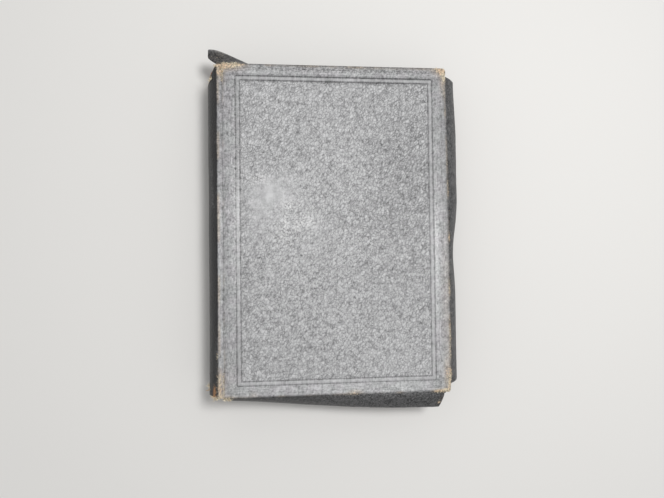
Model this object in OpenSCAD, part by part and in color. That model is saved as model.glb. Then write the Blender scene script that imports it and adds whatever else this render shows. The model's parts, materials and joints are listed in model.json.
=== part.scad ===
// A small old book in limp leather, lying on its back cover.
// Both covers have turned edges, flaps of leather that bend over the edges of the pages.
// +X runs to the fore edge, +Y to the head, +Z up, and the spine is on the -X side.
// The origin is the middle of the back cover's outer face, which the book rests on.

/* [Cover] */
// Width of a cover, from the fold at the spine to the fold at the fore edge
cover_w = 126; // [90:1:190]
// Height of a cover, from the fold at the head to the fold at the tail
cover_h = 180; // [130:1:260]
// Thickness of the closed book
book_t = 29; // [20:0.5:60]
// Thickness of the leather on the outside of a cover
leather_t = 0.8; // [0.6:0.1:1.4]
// Thickness of the card board inside a cover
board_t = 1.3; // [0.8:0.1:2.5]
// Thickness of the pared leather that is turned in over the inside of a board
turn_in_t = 0.4; // [0.3:0.1:0.6]
// Width of the turned-in leather that shows around a pastedown
turn_in_w = 9; // [6:0.5:14]
// Thickness of the leather between a board's edge and the fold
rim_t = 0.6; // [0.4:0.1:1]
// Radius of the cover's two outer corners
corner_r = 2.5; // [1:0.5:6]
// Distance from an outer corner to the end of a flap's root
corner_gap = 4.5; // [3.5:0.5:8]

/* [Flaps] */
// Width of the flaps of the front cover, from the fold to the free edge
flap_w = 13.5; // [10:0.5:14]
// Height that the flaps of the back cover stand up
back_flap_h = 12; // [8:0.5:13]
// Thickness of a flap, which is leather turned back on itself
flap_t = 1.4; // [1.2:0.1:1.8]
// Distance from a fold in to the root of its flap
fold_in = 2.2; // [2:0.1:2.6]
// Reach of the rounded fold, from the root
fold_reach = 3.4; // [3.2:0.1:4]
// Lean of the front cover's fore-edge flap, at its free edge
fore_flare = 6.3; // [3:0.1:9]
// Depth of the wave in the fore-edge flap
fore_wave = 1.5; // [0:0.1:2]
// Length of one wave in the fore-edge flap
fore_wave_l = 118; // [60:1:180]
// Place along the height of the fore-edge flap's widest lean
fore_wave_y = 50; // [-60:1:60]
// Lean of the front cover's tail flap at the spine
tail_flare_spine = 3; // [2:0.1:6]
// Lean of the front cover's tail flap at the fore edge
tail_flare_fore = 10.6; // [4:0.1:11]
// Lean of the front cover's head flap
head_flare = 2.4; // [1.5:0.1:4]
// Lean of the torn end of the head flap, which stands out at the spine
torn_flare = 10.4; // [6:0.1:11]
// Length over which the head flap bends out to its torn end
torn_l = 22; // [12:1:40]
// Overhang of the torn end past the joint, at its free edge
torn_overhang = 7.8; // [2:0.1:9]
// Slant of the worn end of the tail flap at the fore edge
tail_slant = 3.4; // [0:0.1:6]
// Lean of the back cover's flaps
back_flare = 2; // [1:0.1:3]

/* [Joint] */
// Distance from the fold at the spine to the line that a cover turns on
joint_w = 2.7; // [2.4:0.1:5]
// Gap between a cover's leather and the spine's leather at that line
joint_gap = 0.3; // [0.2:0.05:0.6]
// Depth of the pressed groove along the joint
groove_d = 0.3; // [0.1:0.05:0.4]
// Half the width of that groove
groove_half_w = 0.9; // [0.6:0.1:1.4]
// Distance from the turning line to the board's edge
board_back = 1.5; // [1:0.1:3]

/* [Spine] */
// Roundness of the spine, as the distance that it stands out past its folds
spine_bulge = 6; // [3:0.5:8]
// Thickness of the paper lining between the spine's leather and the cloth
lining_t = 0.5; // [0.3:0.1:1]
// Thickness of the open-weave cloth glued to the backs of the pages
mull_t = 0.3; // [0.2:0.05:0.5]
// Distance from a fold at head or tail to the end of the spine's leather
spine_end = 0.5; // [0.3:0.1:2]
// Length of leather that is torn away at the head of the spine
torn_cap = 8.5; // [4:0.5:14]

/* [Pages] */
// Distance from a cover's fold to the edge of the pages at head, tail and fore edge
square_w = 4; // [3.5:0.5:6]
// Hollow of the fore edge
fore_hollow = 4; // [2:0.5:5]
// Radius of the two outer corners of the pages
page_r = 3; // [1:0.5:6]
// Thickness of a flyleaf
leaf_t = 0.3; // [0.2:0.05:0.5]
// Thickness of a pastedown
paste_t = 0.3; // [0.2:0.05:0.4]
// Gap between a cover and the pages
page_gap = 0.1; // [0.05:0.05:0.3]
// Distance that the cloth stops short of the pages at head and tail
mull_short = 3; // [1:0.5:10]
// Height of a head band above the edge of the pages
band_h = 2.2; // [1.6:0.1:3]
// Depth of a head band, from the backs of the pages, which also sets its round top
band_w = 2.4; // [1.6:0.1:3]

/* [Tooling] */
// Distance from the spine fold to the outer line of the border
border_spine = 9.8; // [6:0.1:16]
// Distance from the fore-edge fold to the outer line of the border
border_fore = 7.4; // [5:0.1:16]
// Distance from the head and tail folds to the outer line of the border
border_end = 6.4; // [5:0.1:16]
// Distance between the two lines of the border
line_pitch = 2.3; // [1.6:0.1:4]
// Width of a pressed line
line_w = 0.6; // [0.4:0.1:1]
// Depth of a pressed line
line_d = 0.25; // [0.1:0.05:0.4]

/* [Hidden] */

// Number of sides in each arc of the spine and the fore edge
arc_n = 24;
// Number of stations along a flap, and of steps from its root to its free edge
station_n = 24;
curve_n = 8;
// Number of stations along a flap that doesn't change its lean
plain_n = 6;
// Crowding of the head flap's stations towards its torn end
torn_crowd = 1.6;
// Share of a flap's curve, from its root, that its slanted ends leave square
square_share = 0.4;
// Length of a flap's root that lies in the cover's leather
root_lap = 1;
// Ragged edge of the torn leather, as shares of its length and of the book's thickness
TORN_SHARES = [[0.12, 0], [0.19, 0.07], [0.72, 0.12], [0.9, 0.26], [0.78, 0.43],
               [1, 0.6], [0.86, 0.78], [0.26, 0.91], [0.07, 0.97], [0, 1]];
// Angle at which a head band stops short of each shoulder
band_stop = 3;
// Extra length on a cut, past the face that it opens through
cut = 1;

leather_grey = "#55565a";
flap_grey = "#3c3d40";
card_grey = "#a08b6c";
paper_cream = "#e6dcc0";
page_red = "#6e2a26";
cloth_cream = "#cfc4a6";
kraft_brown = "#9c7a52";
band_red = "#8a2f2a";

fold_x = cover_w / 2;
fold_y = cover_h / 2;
mid_z = book_t / 2;
cover_t = leather_t + board_t + turn_in_t;
hinge_x = -fold_x + joint_w;
hide_x = hinge_x + joint_gap / 2;
board_x = hinge_x + board_back;
root_x = fold_x - fold_in;
root_y = fold_y - fold_in;
board_end_x = root_x - rim_t;
board_end_y = root_y - rim_t;
page_x = fold_x - square_w;
page_y = fold_y - square_w;

// Half thicknesses, from the middle of the book out
leather_in_h = mid_z - leather_t;
shoulder_h = leather_in_h - mull_t;
leaf_out_h = mid_z - cover_t - page_gap;
page_h = leaf_out_h - leaf_t;
shoulder_x = hinge_x - joint_gap;

// The spine's arcs share one centre, and each layer starts where the last one ends
spine_r = (mid_z * mid_z + spine_bulge * spine_bulge) / (2 * spine_bulge);
spine_cx = -fold_x - spine_bulge + spine_r;
leather_in_r = spine_r - leather_t;
lining_in_r = leather_in_r - lining_t;
page_back_r = lining_in_r - mull_t;
fore_r = (page_h * page_h + fore_hollow * fore_hollow) / (2 * fore_hollow);

// Points of an arc that bulges to -X, from +h down to -h about the middle of the book
function spine_arc(r, h) =
    let (a = asin(h / r))
    [for (i = [0:arc_n]) let (t = a - 2 * a * i / arc_n) [spine_cx - r * cos(t), r * sin(t)]];

function reversed(list) = [for (i = [len(list) - 1:-1:0]) list[i]];

// Points of the hollow fore edge, from -page_h up to +page_h
function fore_arc() =
    let (a = asin(page_h / fore_r), cx = page_x + fore_r - fore_hollow)
    [for (i = [0:arc_n]) let (t = -a + 2 * a * i / arc_n) [cx - fore_r * cos(t), fore_r * sin(t)]];

// Stands an outline drawn in x and thickness along the height of the book
module along_height(y0, y1) {
    translate([0, y1, mid_z]) rotate([90, 0, 0]) linear_extrude(height = y1 - y0) children();
}

// A flat sheet between two heights above the rest face
module sheet(z0, z1) {
    translate([0, 0, z0]) linear_extrude(height = z1 - z0) children();
}

module box_outline(x0, x1, y0, y1) {
    translate([x0, y0]) square([x1 - x0, y1 - y0]);
}

// A rectangle with its two corners at the fore edge rounded
module fore_rounded(x0, x1, half_y, r) {
    box_outline(x0, x1 - r, -half_y, half_y);
    box_outline(x0, x1, -half_y + r, half_y - r);
    for (side = [-1, 1]) translate([x1 - r, side * (half_y - r)]) circle(r = r, $fn = 48);
}

// Turns a piece of the front cover over to make the back cover's piece
module on_back() {
    translate([0, 0, book_t]) mirror([0, 0, 1]) children();
}

// Flaps: a curve from the root out and down to the free edge, repeated at stations
function curve_point(u, flare, drop) =
    [2 * u * (1 - u) * fold_reach + u * u * (fold_in + flare), -u * u * drop];

function curve_inward(u, flare, drop) =
    let (da = (1 - u) * fold_reach + u * (fold_in + flare - fold_reach), db = -u * drop)
    [db, -da] / norm([da, db]);

// The flap is single leather at its root and double past the fold
function sheet_t(u) = leather_t + (flap_t - leather_t) * min(1, 2 * u);

// A flap's ends lean only past the fold, so its root stays on the cover
function lean(u) = max(0, (u - square_share) / (1 - square_share));

// A station is [place of the root, place of the free edge, flare, drop]
function station_ring(st) =
    let (outer = [for (i = [0:curve_n]) let (u = i / curve_n, p = curve_point(u, st[2], st[3]))
                  [st[0] + (st[1] - st[0]) * lean(u), p[0], p[1]]],
         inner = [for (i = [curve_n:-1:0])
                  let (u = i / curve_n,
                       p = curve_point(u, st[2], st[3])
                           + sheet_t(u) * curve_inward(u, st[2], st[3]))
                  [st[0] + (st[1] - st[0]) * lean(u), p[0], p[1]]])
    concat([[st[0], -root_lap, 0]], outer, inner, [[st[0], -root_lap, -leather_t]]);

module flap(stations) {
    rings = [for (st = stations) station_ring(st)];
    m = 2 * (curve_n + 2);
    last = len(rings) - 1;
    sides = [for (k = [0:last - 1], j = [0:m - 1])
             let (a = k * m + j, b = k * m + (j + 1) % m) each [[a, b, b + m], [a, b + m, a + m]]];
    start_cap = [for (i = [0:curve_n]) let (o = m - 1 - i) each [[i, o - 1, i + 1], [i, o, o - 1]]];
    end_cap = [for (i = [0:curve_n]) let (s = last * m, o = m - 1 - i)
               each [[s + i, s + i + 1, s + o - 1], [s + i, s + o - 1, s + o]]];
    polyhedron(points = [for (r = rings) each r], faces = concat(sides, start_cap, end_cap));
}

function mix(a, b, t) = a + (b - a) * t;

function smooth(t) = let (c = max(0, min(1, t))) c * c * (3 - 2 * c);

// A flap of one width drops less where it leans out more
function flap_drop(flare) = sqrt(flap_w * flap_w - flare * flare);

function fore_stations() =
    let (end = fold_y - corner_gap)
    [for (i = [0:station_n]) let (s = mix(-end, end, i / station_n),
     flare = fore_flare + fore_wave * cos(360 * (-s - fore_wave_y) / fore_wave_l))
     [s, s, flare, flap_drop(flare)]];

function tail_stations() =
    let (end = fold_x - corner_gap)
    [for (i = [0:station_n]) let (p = i / station_n,
     flare = mix(tail_flare_spine, tail_flare_fore, sin(90 * p)))
     [mix(hide_x, end, p), mix(hide_x, end - tail_slant, p), flare, flap_drop(flare)]];

// The torn end leans out most at the spine, so its stations lie closer together there
function head_stations() =
    let (end = fold_x - corner_gap)
    [for (i = [0:station_n]) let (p = pow(i / station_n, torn_crowd), s = mix(hide_x, end, p),
     flare = mix(torn_flare, head_flare, smooth((s - hide_x) / torn_l)))
     [s, s - torn_overhang * (1 - smooth((s - hide_x) / torn_l)), flare, flap_drop(flare)]];

function plain_stations(s0, s1) =
    [for (i = [0:plain_n]) let (s = mix(s0, s1, i / plain_n)) [s, s, back_flare, back_flap_h]];

module front_flaps() {
    translate([0, 0, book_t]) {
        translate([root_x, 0, 0]) rotate([0, 0, -90]) flap(fore_stations());
        translate([0, root_y, 0]) flap(head_stations());
        mirror([0, 1, 0]) translate([0, root_y, 0]) flap(tail_stations());
    }
}

module back_flaps() {
    end_x = fold_x - corner_gap;
    end_y = fold_y - corner_gap;
    translate([0, 0, book_t]) {
        translate([root_x, 0, 0]) rotate([0, 0, -90]) flap(plain_stations(-end_y, end_y));
        for (side = [0, 1])
            mirror([0, side, 0]) translate([0, root_y, 0]) flap(plain_stations(hide_x, end_x));
    }
}

// Outline of a cover's leather, cut back to the roots of its flaps
module hide_outline() {
    difference() {
        fore_rounded(hide_x, fold_x, fold_y, corner_r);
        box_outline(root_x, fold_x + cut, -fold_y + corner_gap, fold_y - corner_gap);
        for (side = [0, 1])
            mirror([0, side])
                box_outline(hide_x - cut, fold_x - corner_gap, root_y, fold_y + cut);
    }
}

module board_outline() {
    box_outline(board_x, board_end_x, -board_end_y, board_end_y);
}

module pastedown_outline() {
    box_outline(board_x, board_end_x - turn_in_w, -board_end_y + turn_in_w, board_end_y - turn_in_w);
}

// The hide over the board, round its three free edges and turned in over its inside
module hide() {
    sheet(book_t - leather_t, book_t) hide_outline();
    sheet(book_t - leather_t - board_t, book_t - leather_t) difference() {
        rim_outline();
        board_outline();
    }
    sheet(book_t - cover_t, book_t - leather_t - board_t) difference() {
        rim_outline();
        pastedown_outline();
    }
}

module rim_outline() {
    intersection() {
        hide_outline();
        box_outline(board_x, fold_x, -fold_y, fold_y);
    }
}

module board() {
    sheet(book_t - leather_t - board_t, book_t - leather_t) board_outline();
}

module pastedown() {
    sheet(book_t - leather_t - board_t - paste_t, book_t - leather_t - board_t) pastedown_outline();
}

// One pressed line of the border, inset from the outer line by a distance
module border_line(inset) {
    half = line_w / 2;
    x0 = -fold_x + border_spine + inset;
    x1 = fold_x - border_fore - inset;
    y1 = fold_y - border_end - inset;
    sheet(book_t - line_d, book_t + cut) difference() {
        box_outline(x0 - half, x1 + half, -y1 - half, y1 + half);
        box_outline(x0 + half, x1 - half, -y1 + half, y1 - half);
    }
}

module joint_groove() {
    translate([hinge_x - groove_half_w, -fold_y - cut, book_t - groove_d])
        cube([2 * groove_half_w, cover_h + 2 * cut, groove_d + cut]);
}

module text_block() {
    color(page_red) intersection() {
        along_height(-page_y, page_y)
            polygon(concat([[shoulder_x, shoulder_h]], spine_arc(page_back_r, shoulder_h),
                           [[shoulder_x, -shoulder_h], [shoulder_x, -page_h]], fore_arc(),
                           [[shoulder_x, page_h]]));
        sheet(0, book_t) fore_rounded(-fold_x - spine_bulge, page_x, page_y, page_r);
    }
}

module flyleaf() {
    sheet(mid_z + page_h, mid_z + leaf_out_h) fore_rounded(shoulder_x, page_x, page_y, page_r);
}

module front_flyleaf() {
    color(paper_cream) flyleaf();
}

module back_flyleaf() {
    color(paper_cream) on_back() flyleaf();
}

// The cloth wraps the backs of the pages and both shoulders
module spine_mull() {
    color(cloth_cream) along_height(-page_y + mull_short, page_y - mull_short)
        polygon(concat([[shoulder_x, leather_in_h]], spine_arc(lining_in_r, leather_in_h),
                       [[shoulder_x, -leather_in_h], [shoulder_x, -shoulder_h]],
                       reversed(spine_arc(page_back_r, shoulder_h)), [[shoulder_x, shoulder_h]]));
}

module spine_lining() {
    color(kraft_brown) along_height(-page_y, page_y)
        polygon(concat(spine_arc(leather_in_r, leather_in_h),
                       reversed(spine_arc(lining_in_r, leather_in_h))));
}

// A bead of sewn cloth along the backs of the pages, round on top
module band() {
    turn = asin(shoulder_h / page_back_r) - band_stop;
    top_r = band_w / 2;
    translate([spine_cx, page_y, mid_z]) rotate([-90, 0, 0])
        rotate([0, 0, 180 - turn]) rotate_extrude(angle = 2 * turn, $fn = 96)
            translate([page_back_r - top_r, 0]) {
                translate([-top_r, 0]) square([band_w, band_h - top_r]);
                translate([0, band_h - top_r]) intersection() {
                    circle(r = top_r, $fn = 48);
                    translate([-top_r, 0]) square([band_w, top_r]);
                }
            }
}

module head_band() {
    color(band_red) band();
}

module tail_band() {
    color(band_red) mirror([0, 1, 0]) band();
}

// Ragged edge of the leather at the head of the spine, in height and thickness
module torn_edge() {
    ragged = [for (p = TORN_SHARES) [fold_y - spine_end - p[0] * torn_cap, p[1] * book_t]];
    polygon(concat([[fold_y + cut, -cut], [ragged[0][0], -cut]], ragged,
                   [[fold_y - spine_end, book_t + cut], [fold_y + cut, book_t + cut]]));
}

module spine_leather() {
    color(flap_grey) difference() {
        along_height(-fold_y + spine_end, fold_y - spine_end)
            polygon(concat([[hinge_x - joint_gap / 2, mid_z]], spine_arc(spine_r, mid_z),
                           [[hinge_x - joint_gap / 2, -mid_z],
                            [hinge_x - joint_gap / 2, -leather_in_h]],
                           reversed(spine_arc(leather_in_r, leather_in_h)),
                           [[hinge_x - joint_gap / 2, leather_in_h]]));
        translate([-fold_x - 2 * spine_bulge, 0, 0]) rotate([90, 0, 90])
            linear_extrude(height = 4 * spine_bulge) torn_edge();
        joint_groove();
        on_back() joint_groove();
    }
}

module front_board() {
    color(card_grey) board();
}

module front_leather() {
    color(leather_grey) difference() {
        union() {
            hide();
            front_flaps();
        }
        border_line(0);
        border_line(line_pitch);
        joint_groove();
    }
}

module front_pastedown() {
    color(paper_cream) pastedown();
}

module back_board() {
    color(card_grey) on_back() board();
}

module back_leather() {
    color(leather_grey) on_back() difference() {
        union() {
            hide();
            back_flaps();
        }
        joint_groove();
    }
}

module back_pastedown() {
    color(paper_cream) on_back() pastedown();
}

text_block();
front_flyleaf();
back_flyleaf();
spine_mull();
spine_lining();
head_band();
tail_band();
spine_leather();
front_board();
front_leather();
front_pastedown();
back_board();
back_leather();
back_pastedown();
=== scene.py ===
"""A small old book in limp leather, closed and lying on its back cover.

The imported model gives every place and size. The classes below make the hide over both
covers and the spine, the pages, the sewn bands, the endpapers and the worn fibres, and
dress them in procedural materials. Lengths are in millimetres until a mesh is made.
"""

import json
import logging
import math
from collections.abc import Mapping, Sequence
from dataclasses import dataclass, field
from enum import Enum

import bmesh
import bpy
import numpy as np
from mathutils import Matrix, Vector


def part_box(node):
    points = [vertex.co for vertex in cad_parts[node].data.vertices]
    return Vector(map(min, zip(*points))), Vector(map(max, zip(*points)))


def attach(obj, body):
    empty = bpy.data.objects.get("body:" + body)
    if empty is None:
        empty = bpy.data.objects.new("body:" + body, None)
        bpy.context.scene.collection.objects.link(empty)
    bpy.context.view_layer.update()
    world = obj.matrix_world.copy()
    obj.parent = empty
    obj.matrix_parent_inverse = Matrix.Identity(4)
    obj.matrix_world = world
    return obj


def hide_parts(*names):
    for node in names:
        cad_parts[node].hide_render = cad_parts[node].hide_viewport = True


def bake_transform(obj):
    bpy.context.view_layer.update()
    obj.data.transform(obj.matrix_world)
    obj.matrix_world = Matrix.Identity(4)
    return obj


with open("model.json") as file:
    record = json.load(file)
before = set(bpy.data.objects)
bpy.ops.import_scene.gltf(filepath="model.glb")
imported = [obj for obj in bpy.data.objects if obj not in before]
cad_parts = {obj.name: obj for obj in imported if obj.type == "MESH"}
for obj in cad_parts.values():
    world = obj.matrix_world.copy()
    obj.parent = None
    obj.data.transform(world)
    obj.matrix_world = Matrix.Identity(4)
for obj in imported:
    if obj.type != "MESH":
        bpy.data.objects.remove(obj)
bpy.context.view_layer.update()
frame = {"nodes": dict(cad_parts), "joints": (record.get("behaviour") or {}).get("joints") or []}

MM = 0.001
SHARP_DEGREES = 62.0
BACKDROP = 0.78
INSIDE_SHIFT = 400.0
BACK_SHIFT = 90.0
LIP_BULGE = 0.34
LOG = logging.getLogger("book")

Array = np.ndarray
Color = tuple[float, float, float]


class Cover(Enum):
    """The two covers, and the body that each one rides on."""

    FRONT = "front_cover"
    BACK = "back_cover"

    @property
    def front(self) -> bool:
        """Tells whether this is the front cover."""
        return self is Cover.FRONT

    @property
    def side(self) -> str:
        """Word for this cover in the names of its pieces."""
        return self.name.lower()

    @property
    def shift(self) -> float:
        """How far this cover's leather lies along the pattern, so that the two covers differ."""
        return 0.0 if self.front else BACK_SHIFT


class Edge(Enum):
    """The three edges of a cover that have a flap."""

    FORE = "fore"
    HEAD = "head"
    TAIL = "tail"


# Small functions on numbers and arrays


def mix(a: Array | float, b: Array | float, t: Array | float) -> Array | float:
    """Returns the value that lies a share t of the way from a to b."""
    return a + (b - a) * t


def smooth(t: Array | float) -> Array:
    """Returns t held between 0 and 1 and eased at both ends."""
    c = np.clip(t, 0.0, 1.0)
    return c * c * (3.0 - 2.0 * c)


def bell(distance: Array, width: Array | float) -> Array:
    """Returns a soft bump that is 1 at no distance and fades over a width."""
    return np.exp(-((distance / width) ** 2))


def lattice(points: Array, seed: int) -> Array:
    """Returns a fixed random number from 0 to 1 for each row of whole numbers.

    Args:
        points: Whole numbers, three to a row.
        seed: Which set of random numbers to use.

    Returns:
        One number for each row.
    """
    mask = np.int64(0xFFFFFFFF)
    n = (points[..., 0] * 374761393 + points[..., 1] * 668265263 + points[..., 2] * 974634777) & mask
    n = (n + seed * 362437) & mask
    n = ((n ^ (n >> 13)) * 1274126177) & mask
    return ((n ^ (n >> 16)) & 0xFFFF) / 65535.0


def noise(x: Array, y: Array, scale: float, seed: int) -> Array:
    """Returns smooth random values between -1 and 1.

    Args:
        x: First coordinate of each point.
        y: Second coordinate of each point.
        scale: Size of one swell, in the same unit.
        seed: Which noise to use.

    Returns:
        One value for each point.
    """
    p = np.stack(np.broadcast_arrays(x, y, 0.0), axis=-1) / scale
    cell = np.floor(p).astype(np.int64)
    part = smooth(p - cell)
    total = np.zeros(p.shape[:-1])
    for corner in np.ndindex(2, 2, 2):
        step = np.array(corner)
        weight = np.prod(np.where(step == 1, part, 1.0 - part), axis=-1)
        total += weight * lattice(cell + step, seed)
    return 2.0 * total - 1.0


def graded(stops: Sequence[float], steps: Sequence[float]) -> Array:
    """Returns coordinates from the first stop to the last, with its own spacing in each stretch.

    Args:
        stops: The ends of the stretches, rising.
        steps: The wanted spacing in each stretch.

    Returns:
        The coordinates, each stop among them once.
    """
    parts = [
        np.linspace(a, b, max(2, round((b - a) / step) + 1))[:-1]
        for a, b, step in zip(stops[:-1], stops[1:], steps, strict=True)
    ]
    return np.concatenate([*parts, [stops[-1]]])


def make_mesh(
    name: str,
    points: Array,
    faces: Sequence[Sequence[int]],
    layers: Mapping[str, Array] | None = None,
) -> bpy.types.Object:
    """Makes a mesh object from points in millimetres.

    Args:
        name: Name of the object and of its mesh.
        points: Corner points, three numbers to a row.
        faces: Corner numbers of each face, turned either way.
        layers: Point attributes to keep on the mesh, a number or three for each point.

    Returns:
        The object, at the origin and smooth shaded.
    """
    mesh = bpy.data.meshes.new(name)
    mesh.from_pydata((points * MM).tolist(), [], [list(f) for f in faces])
    for key, values in (layers or {}).items():
        wide = values.ndim == 2
        layer = mesh.attributes.new(key, "FLOAT_VECTOR" if wide else "FLOAT", "POINT")
        layer.data.foreach_set("vector" if wide else "value", values.astype(np.float32).ravel())
    outward = bmesh.new()
    outward.from_mesh(mesh)
    bmesh.ops.recalc_face_normals(outward, faces=outward.faces)
    outward.to_mesh(mesh)
    outward.free()
    mesh.update()
    mesh.shade_smooth()
    mesh.set_sharp_from_angle(angle=math.radians(SHARP_DEGREES))
    made = bpy.data.objects.new(name, mesh)
    bpy.context.scene.collection.objects.link(made)
    return made


def grid_faces(rows: int, columns: int, alive: Array | None = None) -> Array:
    """Returns the faces of a grid of points stored row by row.

    Args:
        rows: Number of rows of points.
        columns: Number of points in each row.
        alive: Which points are there; a face needs all four of its own.

    Returns:
        Four corner numbers for each face.
    """
    n = np.arange(rows * columns).reshape(rows, columns)
    quads = np.stack([n[:-1, :-1], n[:-1, 1:], n[1:, 1:], n[1:, :-1]], axis=-1).reshape(-1, 4)
    if alive is not None:
        quads = quads[alive.ravel()[quads].all(axis=1)]
    return quads


def sweep_faces(rings: int, size: int) -> list[list[int]]:
    """Returns the faces of a closed profile swept through a row of places.

    Args:
        rings: Number of places.
        size: Number of points in the profile.

    Returns:
        The side faces and the two ends.
    """
    n = np.arange(rings * size).reshape(rings, size)
    side = np.roll(n, -1, axis=1)
    sides = np.stack([n[:-1], side[:-1], side[1:], n[1:]], axis=-1).reshape(-1, 4)
    return [*sides.tolist(), n[0].tolist(), n[-1].tolist()]


def softened(points: Array, rounds: int) -> Array:
    """Returns a line with its corners cut again and again, so that it bends gently."""
    for _ in range(rounds):
        low, high = mix(points[:-1], points[1:], 0.25), mix(points[:-1], points[1:], 0.75)
        middle = np.stack([low, high], axis=1).reshape(-1, points.shape[1])
        points = np.concatenate([points[:1], middle, points[-1:]])
    return points


def rim_of(faces: Array) -> list[int]:
    """Returns the points round the open edge of a sheet, in the order of its faces' sides.

    Args:
        faces: The corners of the sheet's four-sided faces.

    Returns:
        The points of the longest loop, each once.
    """
    sides = np.concatenate([faces[:, [i, (i + 1) % 4]] for i in range(4)])
    size = int(sides.max()) + 1
    there = sides[:, 0] * size + sides[:, 1]
    back = sides[:, 1] * size + sides[:, 0]
    after = dict(sides[~np.isin(there, back)].tolist())
    loops = []
    while after:
        loop = [next(iter(after))]
        while loop[-1] in after:
            loop.append(after.pop(loop[-1]))
        loops.append(loop[:-1])
    return max(loops, key=len)


def sheet_normals(grid: Array) -> Array:
    """Returns the normal at each point of a grid of points."""
    normal = np.cross(np.gradient(grid, axis=1), np.gradient(grid, axis=0))
    return normal / np.linalg.norm(normal, axis=-1, keepdims=True)


def with_inside(layers: Mapping[str, Array], rim: Sequence[int]) -> dict[str, Array]:
    """Returns a sheet's point attributes, again for its inner sheet and for the lip between the two.

    Args:
        layers: Attributes of the outer sheet, by name.
        rim: Points round the outer sheet's open edge.

    Returns:
        The longer attributes, with the grain's height kept to the outer sheet.
    """
    lip = np.array([*rim, *rim])
    full = {key: np.concatenate([values, values, values[lip]]) for key, values in layers.items()}
    full["skin"][len(layers["skin"]) :] = 0.0
    return full


def lip_walls(
    rim: list[int], outer: Array, inner: Array, normal: Array, count: int, plate: Array
) -> tuple[list[list[int]], Array]:
    """Closes the hide's edge between its outer and its inner sheet with a rounded lip.

    Args:
        rim: Points round the outer sheet's open edge.
        outer: Points of the outer sheet.
        inner: Points of the inner sheet.
        normal: Normals of the outer sheet.
        count: Number of points in a sheet.
        plate: Which points lie on the flat plate, where the lip is square.

    Returns:
        The wall's faces, and the points of its two middle lines.
    """
    ring = np.array(rim)
    tangent = np.roll(outer[ring], -1, axis=0) - np.roll(outer[ring], 1, axis=0)
    tangent /= np.linalg.norm(tangent, axis=1, keepdims=True) + 1e-12
    away = np.cross(tangent, normal[ring])
    gap = np.linalg.norm(outer[ring] - inner[ring], axis=1)[:, None]
    push = away * gap * np.where(plate[ring], 0.0, LIP_BULGE)[:, None]
    lips = [outer[ring] * (1 - t) + inner[ring] * t + push for t in (0.25, 0.75)]
    size = len(ring)
    starts = [ring, np.arange(size) + 2 * count, np.arange(size) + 2 * count + size, ring + count]
    faces: list[list[int]] = []
    for above, below in zip(starts[:-1], starts[1:], strict=True):
        next_above, next_below = np.roll(above, -1), np.roll(below, -1)
        faces += np.stack([above, below, next_below, next_above], axis=1).tolist()
    return faces, np.concatenate(lips)


# Node trees


class Field:
    """A socket of a node tree, on which Python's operators add Math nodes."""

    def __init__(self, tree: "Tree", socket: bpy.types.NodeSocket) -> None:
        """Keeps the tree and the socket."""
        self.tree = tree
        self.socket = socket

    def _math(self, operation: str, *values: "Field | float") -> "Field":
        """Adds a Math node on these values and returns its result."""
        inputs = dict(enumerate(values))
        return self.tree.node("ShaderNodeMath", {"operation": operation}, inputs)[0]

    def __add__(self, other: "Field | float") -> "Field":
        """Returns self + other."""
        return self._math("ADD", self, other)

    def __radd__(self, other: float) -> "Field":
        """Returns other + self."""
        return self._math("ADD", other, self)

    def __sub__(self, other: "Field | float") -> "Field":
        """Returns self - other."""
        return self._math("SUBTRACT", self, other)

    def __rsub__(self, other: float) -> "Field":
        """Returns other - self."""
        return self._math("SUBTRACT", other, self)

    def __mul__(self, other: "Field | float") -> "Field":
        """Returns self * other."""
        return self._math("MULTIPLY", self, other)

    def __rmul__(self, other: float) -> "Field":
        """Returns other * self."""
        return self._math("MULTIPLY", other, self)

    def __truediv__(self, other: "Field | float") -> "Field":
        """Returns self / other."""
        return self._math("DIVIDE", self, other)

    def floor(self) -> "Field":
        """Returns the whole number below."""
        return self._math("FLOOR", self)

    def remainder(self, other: float) -> "Field":
        """Returns the remainder, from 0 up to other."""
        return self._math("FLOORED_MODULO", self, other)

    def least(self, other: "Field | float") -> "Field":
        """Returns the smaller of the two."""
        return self._math("MINIMUM", self, other)

    def most(self, other: "Field | float") -> "Field":
        """Returns the larger of the two."""
        return self._math("MAXIMUM", self, other)

    def ramp(self, low: float, high: float) -> "Field":
        """Returns 0 at low, 1 at high and an eased value between."""
        settings = {"interpolation_type": "SMOOTHSTEP"}
        inputs = {"Value": self, "From Min": low, "From Max": high}
        return self.tree.node("ShaderNodeMapRange", settings, inputs)["Result"]


class Outputs:
    """The outputs of one node, by name or number."""

    def __init__(self, tree: "Tree", made: bpy.types.Node) -> None:
        """Keeps the tree and the node."""
        self.tree = tree
        self.made = made

    def __getitem__(self, key: str | int) -> Field:
        """Returns the enabled output of that name, or the output of that number."""
        if isinstance(key, int):
            return Field(self.tree, self.made.outputs[key])
        found = [s for s in self.made.outputs if s.name == key and s.enabled]
        return Field(self.tree, found[0])


Value = Field | float | Sequence[float] | str | bpy.types.Material


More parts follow.
